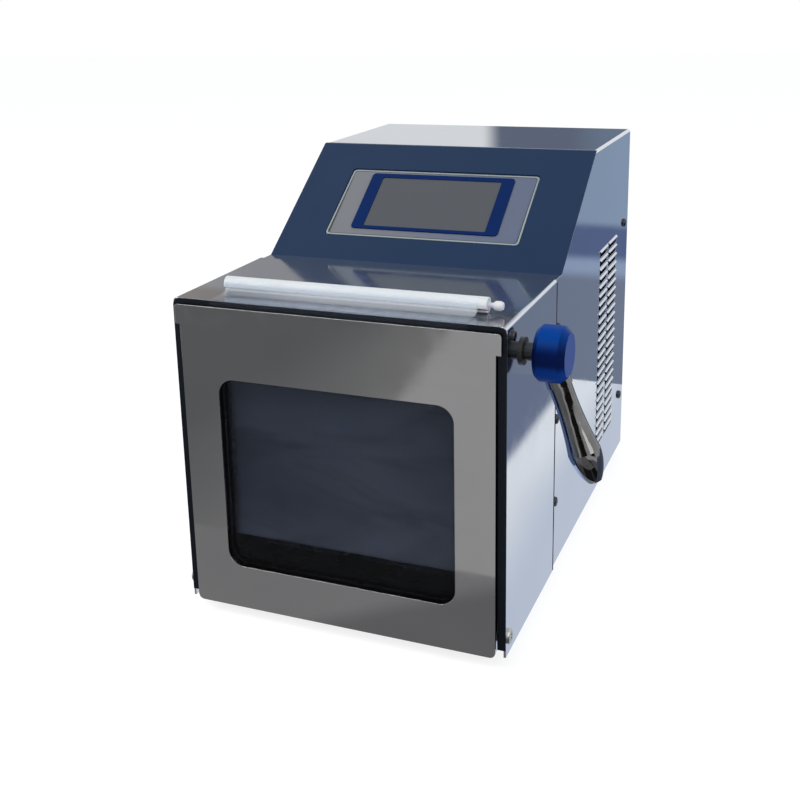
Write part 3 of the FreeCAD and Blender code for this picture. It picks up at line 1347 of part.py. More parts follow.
def power_supply():
    """An open-frame supply on the bulkhead side of the rear panel, standing on two posts."""
    x0 = -d.supply_place
    low = floor + d.supply_rise
    y1 = panel_front
    board_y = y1 - d.board_post
    posts = []
    for x in (x0 + d.post_inset, x0 + d.supply_width - d.post_inset):
        for z in (low + d.post_inset, low + d.supply_height - d.post_inset):
            posts.append(along_y("supply_post", x, board_y, z, d.post_radius, d.board_post))
    plate = block("supply_plate", x0, x0 + d.supply_width, board_y - d.board_thick, board_y,
                  low, low + d.supply_height)
    cage = block("supply_cage", x0 + d.post_inset * 2, x0 + d.supply_width - d.post_inset * 2,
                 board_y - d.board_thick - d.supply_depth, board_y - d.board_thick,
                 low + d.post_inset, low + d.supply_height - d.post_inset * 2)
    finish(joined("power_supply", plate, cage, *posts), "power_supply")


# Rear panel fittings
def power_inlet():
    x = -d.inlet_place
    z = floor + d.inlet_rise
    wide = d.inlet_width / 2
    tall = d.inlet_height / 2
    face = panel_back + d.inlet_flange_thick
    inlet = body("power_inlet")
    pad(inlet, "XZ", panel_back, face, rounded(
        x - wide - d.inlet_flange, x + wide + d.inlet_flange, z - tall - d.inlet_wall,
        z + tall + d.inlet_wall, d.inlet_wall))
    pad(inlet, "XZ", face - d.inlet_depth, panel_back, rectangle(x - wide, x + wide, z - tall, z + tall))
    cut(inlet, "XZ", face - d.inlet_well, face, rounded(
        x - wide + d.inlet_wall, x + wide - d.inlet_wall, z - tall + d.inlet_wall,
        z + tall - d.inlet_wall, d.inlet_wall))
    blade = d.inlet_blade / 2
    pad(inlet, "XZ", face - d.inlet_well, face - d.inlet_well + d.inlet_blade_length, *[
        rectangle(x + shift - blade, x + shift + blade, z + lift - 2 * blade, z + lift + 2 * blade)
        for shift, lift in ((-d.inlet_blade_spread, -blade), (0 * half, 2 * blade),
                            (d.inlet_blade_spread, -blade))])


def power_switch():
    x = -d.switch_place
    z = floor + d.inlet_rise
    wide = d.switch_width / 2
    tall = d.switch_height / 2
    face = panel_back + d.switch_rim
    shell = body("switch_body")
    pad(shell, "XZ", panel_back, face, rounded(
        x - wide - d.switch_rim, x + wide + d.switch_rim, z - tall - d.switch_rim,
        z + tall + d.switch_rim, d.switch_wall))
    pad(shell, "XZ", face - d.switch_depth, panel_back, rectangle(
        x - wide, x + wide, z - tall, z + tall))
    cut(shell, "XZ", face - d.switch_depth + d.switch_wall, face, rectangle(
        x - wide + d.switch_wall, x + wide - d.switch_wall, z - tall + d.switch_wall,
        z + tall - d.switch_wall))
    pivot_y = face - d.rocker_depth
    pad(shell, "YZ", x - wide + d.switch_wall, x + wide - d.switch_wall, circle(
        pivot_y, z, d.screw_radius / 2))
    rocker = body("switch_rocker")
    rock_half = tall - d.switch_wall - d.rocker_gap - d.rocker_rise
    width = wide - d.switch_wall - d.rocker_gap
    crown = d.rocker_depth + d.rocker_rise
    pad(rocker, "YZ", -width, width, outline(
        (0 * half, -rock_half * 2 / 3), (d.rocker_depth, -rock_half), (crown, -rock_half),
        (d.rocker_depth, 0 * half), (crown, rock_half), (d.rocker_depth, rock_half),
        (0 * half, rock_half * 2 / 3)))
    pad(rocker, "YZ", -width, width, circle(0 * half, 0 * half, d.rocker_radius))
    cut(rocker, "YZ", -width, width, circle(0 * half, 0 * half, d.screw_radius / 2 + d.running_gap))
    place(rocker, x, pivot_y, z, X_AXIS, d.rocker_tilt)


def fuse_holder():
    z = floor + d.inlet_rise
    cap = along_y("fuse_cap", d.fuse_place, panel_back, z, d.fuse_radius, d.fuse_cap)
    barrel = along_y("fuse_barrel", d.fuse_place, panel_back - d.fuse_length, z, d.fuse_body,
                     d.fuse_length)
    finish(joined("fuse_holder", cap, barrel), "fuse_holder")


# Bag and clip
def bag_clip():
    axis_z = deck + d.soft_gap + d.clip_radius
    y = front + d.clip_depth
    sleeve = body("clip_sleeve")
    pad(sleeve, "YZ", -clip_left, clip_right, circle(y, axis_z, d.clip_radius))
    cut(sleeve, "YZ", -clip_left, clip_right, circle(y, axis_z, d.clip_bore))
    cut(sleeve, "YZ", -clip_left, clip_right, rectangle(
        y - d.clip_radius - d.clip_slot, y, axis_z - d.clip_bore + d.clip_slot / 4,
        axis_z - d.clip_bore + d.clip_slot * 5 / 4))
    rod = body("clip_rod")
    radius = d.clip_bore - d.rod_slack
    stem_end = clip_right + d.clip_stem_length
    ball = d.clip_ball
    turn(rod, "XZ", "H_Axis", outline(
        (-clip_left, 0 * half), (-clip_left, radius), (clip_right, radius),
        (clip_right, d.clip_stem), (stem_end, d.clip_stem), (stem_end, ball * 3 / 4),
        (stem_end + ball / 2, ball), (stem_end + ball * 3 / 2, ball),
        (stem_end + ball * 2, ball * 3 / 4), (stem_end + ball * 2, 0 * half)))
    place(rod, 0, y, axis_z)


def sample_bag():
    """A flat bag: its neck runs from the clip over the front edge and down behind the door's skin."""
    bag = body("sample_bag")
    neck_low = deck + d.soft_gap
    neck_high = neck_low + d.film
    drop = front - d.band_ahead - (d.door_ahead - d.sheet - d.band_ahead - d.film) / 2
    drop_front = drop - d.film
    hang_front = backing_back + d.soft_gap + d.film / 2
    hang_back = hang_front + d.bag_thick
    high = deck - d.bag_jog_high
    low = deck - d.bag_jog_low
    bag_half = chamber_half - d.bag_play
    tail = front + d.clip_depth - d.clip_radius - d.soft_gap
    pad(bag, "YZ", d.bag_shift - bag_half, d.bag_shift + bag_half, outline(
        (tail, neck_high), (drop_front + d.film, neck_high, 2 * d.film), (drop_front, neck_high - d.film),
        (drop_front, high), (hang_front, low), (hang_front, floor + d.bag_low),
        (hang_back, floor + d.bag_low), (hang_back, low), (drop, high + d.film),
        (drop, neck_low), (tail, neck_low)))


def build():
    base_plate()
    front_shell()
    rear_shell()
    bulkhead()
    rear_panel()
    case_screws()
    feet()
    controls()
    chamber_liner()
    edge_gasket()
    door_skin()
    door_window()
    backing_screws()
    hinge()
    strikers()
    lock_shaft()
    lock_hook(-1, "lock_hook_left")
    lock_hook(1, "lock_hook_right")
    lock_blocks()
    lock_hub()
    lock_handle()
    for side, name in ((-1, "left"), (1, "right")):
        paddle(side, f"paddle_{name}")
        paddle_rod(side, f"paddle_rod_{name}")
        yoke(side, f"yoke_{name}")
    guides()
    crankshaft()
    drive_frame()
    pulley("driven_pulley", d.driven_radius, d.journal_radius, crank_y, crank_z)
    pulley("drive_pulley", d.drive_radius, d.motor_shaft, motor_y, motor_z)
    drive_belt()
    motor()
    power_supply()
    power_inlet()
    power_switch()
    fuse_holder()
    bag_clip()
    sample_bag()


def check_and_export():
    DOC.recompute()
    for item in DOC.Objects:
        if "Invalid" in item.State or "Error" in item.State:
            raise RuntimeError(f"{item.Label} failed: {item.State}")
        if item.TypeId == "PartDesign::Pocket":
            if item.Shape.Volume > item.BaseFeature.Shape.Volume - 1e-3:
                raise RuntimeError(f"{item.Label} cuts nothing")
    os.makedirs("parts", exist_ok=True)
    for item in FINISHED:
        shape = item.Shape
        if shape.isNull() or not shape.isValid() or shape.Volume <= 0:
            raise RuntimeError(f"{item.Label} has no valid solid")
        shape.exportStep(f"parts/{item.Label}.step")
        print(item.Label, len(shape.Solids), round(shape.Volume, 1))


build()
check_and_export()
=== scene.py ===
import json
import math

import bmesh
import bpy
from mathutils import Matrix, Vector, noise

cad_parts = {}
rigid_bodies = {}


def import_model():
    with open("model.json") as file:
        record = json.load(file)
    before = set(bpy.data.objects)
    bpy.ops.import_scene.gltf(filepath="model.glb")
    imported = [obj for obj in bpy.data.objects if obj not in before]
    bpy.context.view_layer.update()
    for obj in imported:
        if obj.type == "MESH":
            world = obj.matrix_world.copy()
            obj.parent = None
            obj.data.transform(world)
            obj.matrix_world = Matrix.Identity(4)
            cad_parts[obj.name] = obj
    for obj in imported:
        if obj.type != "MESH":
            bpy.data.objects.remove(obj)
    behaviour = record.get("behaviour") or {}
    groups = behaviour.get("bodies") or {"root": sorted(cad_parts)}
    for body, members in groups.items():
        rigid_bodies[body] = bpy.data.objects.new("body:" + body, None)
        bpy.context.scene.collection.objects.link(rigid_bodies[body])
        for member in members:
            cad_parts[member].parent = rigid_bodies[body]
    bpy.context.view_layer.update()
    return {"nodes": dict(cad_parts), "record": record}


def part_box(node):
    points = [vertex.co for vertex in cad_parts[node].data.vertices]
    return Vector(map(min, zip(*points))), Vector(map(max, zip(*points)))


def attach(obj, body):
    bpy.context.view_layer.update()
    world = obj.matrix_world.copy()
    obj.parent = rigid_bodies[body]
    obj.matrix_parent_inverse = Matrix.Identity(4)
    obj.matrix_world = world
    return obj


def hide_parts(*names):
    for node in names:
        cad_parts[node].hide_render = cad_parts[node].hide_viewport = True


for leftover in list(bpy.data.objects):
    bpy.data.objects.remove(leftover)
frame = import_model()
nodes = frame["nodes"]
MM = 0.001

# Texture sizes in waves per metre, and the range that holds most of a noise's values
CLOUDS, SMEARS, BRUSHING, GRAIN, SHEET_WAVES = 16, 38, 420, 1500, 7
COMMON = (0.3, 0.7)


# Material building blocks
class Finish:
    """One material's nodes, read in the object's own space, in metres."""

    def __init__(self, name):
        self.material = bpy.data.materials.new(name)
        self.material.use_nodes = True
        self.tree = self.material.node_tree
        self.shader = self.tree.nodes["Principled BSDF"]
        self.place = self.add("ShaderNodeTexCoord").outputs["Object"]
        self.relief = None

    def add(self, kind, settings=None, **inputs):
        node = self.tree.nodes.new(kind)
        for key, value in (settings or {}).items():
            setattr(node, key, value)
        for key, value in inputs.items():
            self.put(node.inputs[key.replace("_", " ")], value)
        return node

    def put(self, socket, value):
        if isinstance(value, bpy.types.NodeSocket):
            self.tree.links.new(value, socket)
        elif socket.type == "RGBA" and len(value) == 3:
            socket.default_value = (*value, 1)
        else:
            socket.default_value = value

    def set(self, **values):
        for key, value in values.items():
            self.put(self.shader.inputs[key.replace("_", " ")], value)

    def stretched(self, stretch):
        return self.add("ShaderNodeMapping", Vector=self.place, Scale=stretch).outputs[0]

    def noise(self, scale, detail=2.0, stretch=None, rough=0.5, distort=0.0):
        place = self.stretched(stretch) if stretch else self.place
        return self.add("ShaderNodeTexNoise", Vector=place, Scale=scale, Detail=detail,
                        Roughness=rough, Distortion=distort).outputs["Fac"]

    def cells(self, scale, stretch=None):
        place = self.stretched(stretch) if stretch else self.place
        return self.add("ShaderNodeTexVoronoi", Vector=place, Scale=scale).outputs["Distance"]

    def span(self, value, low, high, to_low=0.0, to_high=1.0):
        """A soft step from to_low where the value is low to to_high where it is high."""
        node = self.add("ShaderNodeMapRange", {"interpolation_type": "SMOOTHSTEP"}, Value=value)
        for key, bound in (("From Min", low), ("From Max", high), ("To Min", to_low), ("To Max", to_high)):
            self.put(node.inputs[key], bound)
        return node.outputs["Result"]

    def math(self, operation, first, second=0.0):
        node = self.add("ShaderNodeMath", {"operation": operation})
        self.put(node.inputs[0], first)
        self.put(node.inputs[1], second)
        return node.outputs[0]

    def blend(self, share, first, second, mode="MIX"):
        node = self.add("ShaderNodeMix", {"data_type": "RGBA", "blend_type": mode})
        for socket, value in zip((node.inputs[0], node.inputs[6], node.inputs[7]), (share, first, second)):
            self.put(socket, value)
        return node.outputs[2]

    def bump(self, height, distance):
        """Relief of this height, on top of the relief that is there."""
        node = self.add("ShaderNodeBump", Height=height, Distance=distance, Strength=1.0)
        if self.relief:
            self.tree.links.new(self.relief, node.inputs["Normal"])
        self.relief = node.outputs["Normal"]
        self.put(self.shader.inputs["Normal"], self.relief)

    def facing(self, axis, low, high, room=False):
        """1 where the surface faces along the piece's own axis, or the room's, and 0 away from it."""
        own = self.add("ShaderNodeTexCoord").outputs["Normal"]
        normal = self.add("ShaderNodeNewGeometry").outputs["True Normal"] if room else own
        return self.span(self.add("ShaderNodeSeparateXYZ", Vector=normal).outputs[axis], low, high)

    def eased(self, radius):
        """Edges that look rounded."""
        self.relief = self.add("ShaderNodeBevel", {"samples": 4}, Radius=radius).outputs["Normal"]
        self.put(self.shader.inputs["Normal"], self.relief)


def times(color, factor):
    return tuple(channel * factor for channel in color)


def steel(name, color, rough, brush=None, wave=0.0, edge=0.0, smear=0.06, tint=0.08, grain=0.03, top=0.0,
          painted_top_reflection=(1.0, 1.0, 1.0), painted_front_reflection=None):
    """Sheet or turned steel: cloudy colour, smeared polish, brush lines and a slightly uneven sheet.

    Where it faces up it can be rougher by top, and top also blends in a painted reflection there in the top
    tint.
    With a front tint, that is the deck only, and the front tint is the painted reflection near the front
    edge.
    """
    m = Finish(name)
    if edge:
        m.eased(edge)
    smeared, line_share, line_shade = (0.42, 0.72), 0.12, 0.8
    facing_up, deck_limit, front_strip = (0.75, 0.95), (0.25, 0.26), (-0.172, -0.150)
    brush_depth, grain_depth = 0.0012 * MM, 0.002 * MM
    cloud = m.noise(CLOUDS, 3)
    smears = m.span(m.noise(SMEARS, 6, rough=0.62, distort=0.8), *smeared)
    lines = m.noise(BRUSHING, 3, stretch=brush) if brush else m.noise(GRAIN, 2)
    base = m.blend(cloud, times(color, 1 - tint), times(color, 1 + tint))
    base = m.blend(m.math("MULTIPLY", lines, line_share), base, times(color, line_shade))
    gloss = m.math("ADD", m.math("MULTIPLY", smears, smear), rough)
    gloss = m.math("ADD", m.math("MULTIPLY", lines, grain), gloss)
    # Painted reflection: faces that look up take the top tint, and the deck's front strip the front tint
    if top:
        level = m.facing("Z", *facing_up)
        if painted_front_reflection:
            across, depth, height = m.add("ShaderNodeSeparateXYZ", Vector=m.place).outputs
            level = m.math("MULTIPLY", level, m.span(height, *deck_limit, 1.0, 0.0))
            painted_top_reflection = m.blend(m.span(depth, *front_strip), painted_front_reflection, painted_top_reflection)
        gloss = m.math("ADD", gloss, m.math("MULTIPLY", level, top))
        base = m.blend(level, base, m.blend(1.0, base, painted_top_reflection, "MULTIPLY"))
    m.set(Base_Color=base, Metallic=1.0, Roughness=gloss)
    if wave:
        m.bump(m.noise(SHEET_WAVES, 1), wave)
    m.bump(lines, brush_depth if brush else grain_depth)
    return m.material


def chrome_plate():
    """Chrome over a hand-polished casting: it mirrors in streaks; its colour is darkened as a painted dark
    reflection, and bluer on its side to the case as a painted reflection of the case.
    """
    m = Finish("chrome with painted reflections")
    patches, streaks, toward_case, gloss_range = 70, (1, 1, 0.45), (-0.12, -0.50), (0.04, 0.12)
    cloud = m.noise(patches, 4, rough=0.6)
    # Painted reflections: dark where the handle faces the room, blue where it faces the case
    painted_dark_reflection = m.blend(cloud, (0.10, 0.098, 0.098), (0.24, 0.236, 0.236))
    inner = m.blend(cloud, (0.42, 0.52, 0.74), (0.54, 0.64, 0.86))
    m.set(Base_Color=m.blend(m.facing("X", *toward_case), painted_dark_reflection, inner), Metallic=1.0,
          Roughness=m.span(m.noise(160, 3), 0.35, 0.7, *gloss_range))
    m.bump(m.noise(patches, 2, stretch=streaks), 0.6 * MM)
    return m.material


def turned(name, color, rough):
    """Cast or machined metal with a fine grain and a cloudy, uneven tone."""
    m = Finish(name)
    grain_size, cloud_size, dark, light, rougher = 1300, 40, 0.85, 1.1, 0.14
    grain = m.noise(grain_size, 4)
    cloud = m.noise(cloud_size, 4)
    m.set(Base_Color=m.blend(cloud, times(color, dark), times(color, light)), Metallic=1.0,
          Roughness=m.span(grain, *COMMON, rough, rough + rougher))
    m.bump(grain, 0.01 * MM)
    return m.material


def plastic(name, color, rough, grain=0.01 * MM, scale=1400, shade=0.12, coat=0.0, dust=0.04, level=0.5,
            right=1.0):
    """Moulded plastic or paint: fine texture, soft shading, a trace of dust and a coat where it is glossy.

    Where right is below 1, the colour falls off toward the right end of the piece as a painted shade.
    """
    m = Finish(name)
    cloud_size, speck_size, speck_range, dust_color = 24, 260, (0.62, 0.78), (0.5, 0.5, 0.48)
    fall_off, red_share, smoother, rougher = (-0.08, 0.08), 0.85, 0.04, 0.05
    cloud = m.noise(cloud_size, 3)
    texture = m.noise(scale, 2)
    specks = m.span(m.noise(speck_size, 5, rough=0.7), *speck_range)
    base = m.blend(cloud, times(color, 1 - shade), times(color, 1 + shade))
    # Painted shade: the colour darkens toward the piece's right end
    if right < 1:
        across = m.add("ShaderNodeSeparateXYZ", Vector=m.place).outputs["X"]
        painted_right_shade = m.blend(1.0, base, (right * red_share, right, 1), "MULTIPLY")
        base = m.blend(m.span(across, *fall_off), base, painted_right_shade)
    base = m.blend(m.math("MULTIPLY", specks, dust), base, dust_color)
    m.set(Base_Color=base, Roughness=m.span(texture, *COMMON, rough - smoother, rough + rougher),
          Specular_IOR_Level=level, Coat_Weight=coat, Coat_Roughness=0.12)
    m.bump(texture, grain)
    return m


def hub_moulding():
    """Blue moulding: its own texture, with painted light by facing: paler where light falls on it from above,
    paler underneath from the floor's light, and a painted sheen on its end.
    """
    m = plastic("blue moulding", (0.0001, 0.0055, 0.050), 0.34, 0.006 * MM, 1200, 0.1, dust=0.0, level=0.04)
    facing_down, facing_up, facing_out = (-0.1, -0.4), (0.2, 0.85), (0.9, 0.97)
    base = m.shader.inputs["Base Color"].links[0].from_socket
    # Painted light by facing: paler underneath and on top, darkest on the sides, and a painted sheen on the
    # end face
    painted_underside_light = m.blend(m.facing("Z", *facing_down, True), base, (0.001, 0.028, 0.190))
    top = m.blend(m.facing("Z", *facing_up, True), painted_underside_light, (0.0001, 0.042, 0.245))
    painted_end_sheen = m.blend(m.noise(60, 3), (0.040, 0.078, 0.26), (0.052, 0.094, 0.30))
    m.set(Base_Color=m.blend(m.facing("X", *facing_out), top, painted_end_sheen))
    return m.material


def rubber(name, color):
    """Moulded rubber: matt, with a soft unevenness."""
    m = plastic(name, color, 0.4, grain=0.02 * MM, scale=900, shade=0.2, dust=0.01, level=0.15)
    m.bump(m.noise(120, 4), 0.05 * MM)
    return m.material


def tinted_window():
    """Smoked acrylic: clear body with a dark tint, and fine wipe marks on its polish."""
    m = Finish("smoked acrylic")
    wipe = m.noise(60, 5, stretch=(1, 1, 3), distort=1.2)
    wiped, polish = (0.45, 0.75), (0.015, 0.05)
    m.set(Base_Color=m.blend(m.noise(9, 2), (0.19, 0.205, 0.245), (0.25, 0.27, 0.315)),
          Transmission_Weight=1.0, IOR=1.22, Roughness=m.span(wipe, *wiped, *polish))
    m.bump(m.noise(5, 2), 0.1 * MM)
    return m.material


def display():
    """An unlit grey display under a matt film, with its faint rows of cells."""
    m = Finish("display film")
    cell_size, cell_share, film_grain, matt = 2600, 0.25, 2200, (0.28, 0.36)
    rows = m.cells(cell_size)
    cloud = m.noise(11, 2)
    base = m.blend(cloud, (0.074, 0.079, 0.090), (0.085, 0.090, 0.101))
    base = m.blend(m.math("MULTIPLY", rows, cell_share), base, (0.058, 0.063, 0.074))
    m.set(Base_Color=base, Roughness=m.span(m.noise(300, 3), *COMMON, *matt), Specular_IOR_Level=0.15)
    m.bump(m.noise(film_grain, 1), 0.004 * MM)
    return m.material


def sleeve_plastic():
    """Milky extruded plastic with drawn lines along it."""
    m = Finish("milky sleeve")
    drawn_along, satin = (0.03, 1, 1), (0.42, 0.55)
    lines = m.noise(700, 2, stretch=drawn_along)
    m.set(Base_Color=m.blend(m.noise(30, 3), (0.64, 0.67, 0.70), (0.72, 0.75, 0.78)),
          Roughness=m.span(lines, *COMMON, *satin), Subsurface_Weight=0.5, Subsurface_Scale=4 * MM,
          Transmission_Weight=0.05, IOR=1.49)
    m.bump(lines, 0.06 * MM)
    m.bump(m.noise(90, 3), 0.3 * MM)
    return m.material


def thin_film():
    """Clear polythene: see-through, with a milky haze in its folds and sharp highlights; more haze by the
    sleeve is partly its own milkiness and partly painted light over the sleeve's shadow, and less haze toward
    the right inside is painted shade.
    """
    m = Finish("clear film")
    crease = m.noise(55, 5, stretch=(2.2, 0.7, 0.7), rough=0.6, distort=0.6)
    sharp, least, middle = (0.08, 0.22), 0.006, 0.002
    haze_and_painted_light_by_sleeve, round_lip, left_end = (-0.182, -0.1695), (-0.1915, -0.1890), (-0.085, -0.01)
    down_inside, below_deck = (0.06, 0.205), (0.200, 0.212)
    painted_shade_rightward, side_seams = (0.02, 0.075), (0.078, 0.087)
    m.set(Base_Color=(0.86, 0.9, 0.96), Roughness=m.span(crease, *COMMON, *sharp), IOR=1.45)
    m.bump(crease, 0.6 * MM)
    m.bump(m.noise(400, 3), 0.03 * MM)
    grazing = m.add("ShaderNodeLayerWeight", Blend=0.5).outputs["Facing"]
    across, depth, height = m.add("ShaderNodeSeparateXYZ", Vector=m.place).outputs
    smears = m.noise(15, 3, stretch=(0.5, 1, 1.7), distort=0.8)
    off_middle = m.math("ABSOLUTE", m.math("SUBTRACT", across, middle))
    deck_haze = m.math("MULTIPLY", m.math("POWER", grazing, 1.6), m.span(crease, 0.3, 0.75, 0.06, 0.13))
    # Haze rising toward the sleeve: partly the film's own milkiness, partly painted light over the sleeve's
    # shadow
    deck_haze = m.math("ADD", deck_haze, m.span(depth, *haze_and_painted_light_by_sleeve, 0.012, 0.24))
    for fade in (m.span(depth, *round_lip), m.span(across, *left_end, 0.62, 1.0)):
        deck_haze = m.math("MULTIPLY", deck_haze, fade)
    inside_haze = m.span(height, *down_inside, 0.66, 0.3)
    # Painted shade: the haze inside thins toward the right
    for fade in (m.span(smears, 0.32, 0.68, 0.62, 1.2), m.span(across, *painted_shade_rightward, 1.0, 0.72),
                 m.span(height, *below_deck, 1.0, 0.0), m.span(off_middle, *side_seams, 1.0, 0.0)):
        inside_haze = m.math("MULTIPLY", inside_haze, fade)
    haze = m.math("ADD", deck_haze, inside_haze)
    clear = m.add("ShaderNodeBsdfTransparent", Color=(0.97, 0.98, 1.0, 1.0))
    mix = m.add("ShaderNodeMixShader", Fac=m.math("ADD", haze, least))
    m.tree.links.new(clear.outputs[0], mix.inputs[1])
    m.tree.links.new(m.shader.outputs[0], mix.inputs[2])
    m.tree.links.new(mix.outputs[0], m.tree.nodes["Material Output"].inputs["Surface"])
    return m.material


def board():
    """Solder mask over copper: green with darker tracks and small pads."""
    m = Finish("solder mask")
    track_size, track_stretch, track_edge = 160, (1, 3, 3), (0.1, 0.16)
    tracks = m.cells(track_size, stretch=track_stretch)
    base = m.blend(m.span(tracks, *track_edge), (0.005, 0.06, 0.02), (0.008, 0.12, 0.045))
    m.set(Base_Color=base, Roughness=m.span(tracks, 0.1, 0.2, 0.25, 0.4), Coat_Weight=0.3)
    m.bump(tracks, 0.04 * MM)
    return m.material


# Each slot's finish
ALONG_X, ALONG_Y = (0.02, 1, 1), (1, 0.02, 1)
FINISHES = {
    # The case deck's bluer top tint and front tint, and the door's near-black top tint, are painted
    # reflections
    "case_steel": steel("polished case sheet", (0.62, 0.65, 0.70), 0.025, ALONG_Y, wave=0.06 * MM,
                        edge=0.7 * MM, smear=0.05, tint=0.05, top=0.05, painted_top_reflection=(0.66, 0.77, 0.89),
                        painted_front_reflection=(0.46, 0.47, 0.49)),
    "door_steel": steel("polished door sheet", (0.55, 0.55, 0.555), 0.045, ALONG_X, wave=0.2 * MM,
                        edge=0.3 * MM, smear=0.05, top=0.25, painted_top_reflection=(0.12, 0.12, 0.13)),
    "plain_steel": steel("zinc plated steel", (0.50, 0.50, 0.48), 0.30, smear=0.1, tint=0.14),
    "blackened_steel": steel("blackened steel", (0.055, 0.056, 0.062), 0.28, smear=0.1, tint=0.2),
    # The liner is darker than bare steel: partly its own brushed finish, partly painted shade of the closed
    # chamber
    "inner_steel": steel("brushed liner sheet in painted shade", (0.24, 0.25, 0.27), 0.24, ALONG_X, wave=0.05 * MM,
                         edge=0.5 * MM),
    # The navy coat and the grey label take a painted shade toward their right end
    "navy_paint": plastic("navy powder coat", (0.0125, 0.0295, 0.072), 0.42, 0.02 * MM, 900, 0.07, level=0.1,
                          dust=0.008, right=0.97).material,
    "label_grey": plastic("grey label film", (0.180, 0.185, 0.202), 0.38, 0.006 * MM, 1800, 0.05, level=0.1,
                          dust=0.02, right=0.74).material,
    "bezel_blue": plastic("blue bezel", (0.0002, 0.0150, 0.088), 0.3, 0.008 * MM, 1500, 0.2, level=0.06,
                          dust=0.005).material,
    "screen": display(),
    "window": tinted_window(),
    "black_rubber": rubber("black rubber", (0.0028, 0.0052, 0.0095)),
    "hub_blue": hub_moulding(),
    "chrome": chrome_plate(),
    "bronze": turned("sintered bronze", (0.48, 0.30, 0.13), 0.38),
    "nylon": plastic("natural nylon", (0.68, 0.66, 0.58), 0.45).material,
    "black_plastic": plastic("black moulding", (0.018, 0.018, 0.019), 0.42, 0.03 * MM, 800, 0.2).material,
    "rocker_black": plastic("rocker moulding", (0.02, 0.02, 0.021), 0.3, 0.01 * MM, 1200, 0.15).material,
    "cast_aluminium": turned("cast aluminium", (0.62, 0.62, 0.61), 0.4),
    "motor_grey": plastic("grey motor enamel", (0.11, 0.12, 0.125), 0.4, 0.04 * MM, 500, 0.15,
                          coat=0.2).material,
    "board_green": board(),
    "clip_white": sleeve_plastic(),
    "bag_film": thin_film(),
}


def finish_of(obj, slot, material=None):
    """The slot's own finish, or another one in the same slot."""
    obj.data.materials.clear()
    obj.data.materials.append(material or FINISHES[slot])


# Finishes on the carried-over nodes
for entry in frame["record"]["subparts"]:
    finish_of(nodes[entry["node"]], entry["material_slot"])
PANEL_STEEL = steel("brushed door panel", (0.46, 0.465, 0.47), 0.26, ALONG_X, wave=0.05 * MM, edge=0.5 * MM)
finish_of(nodes["door_backing"], "inner_steel", PANEL_STEEL)


def shown(name, mesh, slot, body, material=None):
    """A new piece of the object, carried by a body."""
    obj = bpy.data.objects.new(name, mesh)
    bpy.context.scene.collection.objects.link(obj)
    finish_of(obj, slot, material)
    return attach(obj, body)


def meshed(name, points, faces, smooth=True):
    """A mesh of these points and faces."""
    mesh = bpy.data.meshes.new(name)
    mesh.from_pydata(points, [], faces)
    mesh.validate()
    if smooth:
        mesh.shade_smooth()
    return mesh


# Screws with cross recesses, each where its node has one
def screw_places(name, reach=9 * MM):
    """The screws of a node that stand along X: side, middle, head and shank radius, and where each ends."""
    rim, step = 0.9, 0.1 * MM
    groups = []
    for vertex in nodes[name].data.vertices:
        co = vertex.co
        for group in groups:
            first = group[0]
            if first.x * co.x > 0 and math.hypot(first.y - co.y, first.z - co.z) < reach:
                group.append(co.copy())
                break
        else:
            groups.append([co.copy()])
    places = []
    for group in groups:
        side = 1 if group[0].x > 0 else -1
        y = (min(c.y for c in group) + max(c.y for c in group)) / 2
        z = (min(c.z for c in group) + max(c.z for c in group)) / 2
        radius = max(math.hypot(c.y - y, c.z - z) for c in group)
        wide = [abs(c.x) for c in group if math.hypot(c.y - y, c.z - z) > rim * radius]
        inner = [math.hypot(c.y - y, c.z - z) for c in group if abs(c.x) < min(wide) - step]
        ends = [abs(c.x) for c in group]
        places.append((side, y, z, radius, max(inner, default=radius / 2), min(ends), min(wide), max(ends)))
    return places


def limited(value):
    """The value, held between 0 and 1."""
    return max(0.0, min(1.0, value))


def cross_screws(name, body, slot, spin):
    """Pan heads with a cross recess on plain shanks, in place of the node's plain heads."""
    around, shares = 48, (0, 0.1, 0.17, 0.24, 0.31, 0.38, 0.45, 0.52, 0.6, 0.7, 0.8, 0.88, 0.94, 0.98, 1)
    first_turn, merged, crease = 0.4, 1e-7, math.radians(50)
    wing_half, wing_slope, wing_reach, reach_slope, recess = 0.1, 0.03, 0.54, 0.08, 0.8
    rim_share, dome_share, dome_top, recess_floor = 0.38, 0.62, 0.995, 0.9
    bm = bmesh.new()
    for number, (side, y, z, radius, shank, low, seat, top) in enumerate(screw_places(name)):
        turn = spin * number + first_turn
        height = top - seat
        rings = []
        for share in shares:
            ring = []
            for step in range(around):
                angle = 2 * math.pi * step / around
                u, v = share * math.cos(angle), share * math.sin(angle)
                wing = min(abs(u), abs(v))
                depth = recess * limited((wing_half - wing) / wing_slope)
                depth *= limited((wing_reach - share) / reach_slope)
                rise = height * ((1 - share ** 4) ** 0.5 * dome_share + rim_share)
                away = seat + rise * dome_top - depth * height * recess_floor
                c, s = math.cos(angle + turn), math.sin(angle + turn)
                ring.append(bm.verts.new((side * away, y + share * radius * c, z + share * radius * s)))
            rings.append(ring)
        angles = [2 * math.pi * k / around + turn for k in range(around)]
        for r, x in ((radius, seat), (shank, seat), (shank, low)):
            rings.append([bm.verts.new((side * x, y + r * math.cos(a), z + r * math.sin(a))) for a in angles])
        for first, second in zip(rings, rings[1:]):
            for k in range(around):
                bm.faces.new((first[k], first[(k + 1) % around], second[(k + 1) % around], second[k]))
        bm.faces.new(rings[-1])
    bmesh.ops.remove_doubles(bm, verts=bm.verts, dist=merged)
    bmesh.ops.recalc_face_normals(bm, faces=bm.faces)
    mesh = bpy.data.meshes.new(name + "_cross")
    bm.to_mesh(mesh)
    bm.free()
    mesh.shade_smooth()
    mesh.set_sharp_from_angle(angle=crease)
    obj = shown(name + "_cross", mesh, slot, body)
    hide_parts(name)


cross_screws("case_screws", "case", "blackened_steel", 0.9)
cross_screws("hinge_pins", "case", "plain_steel", 1.3)


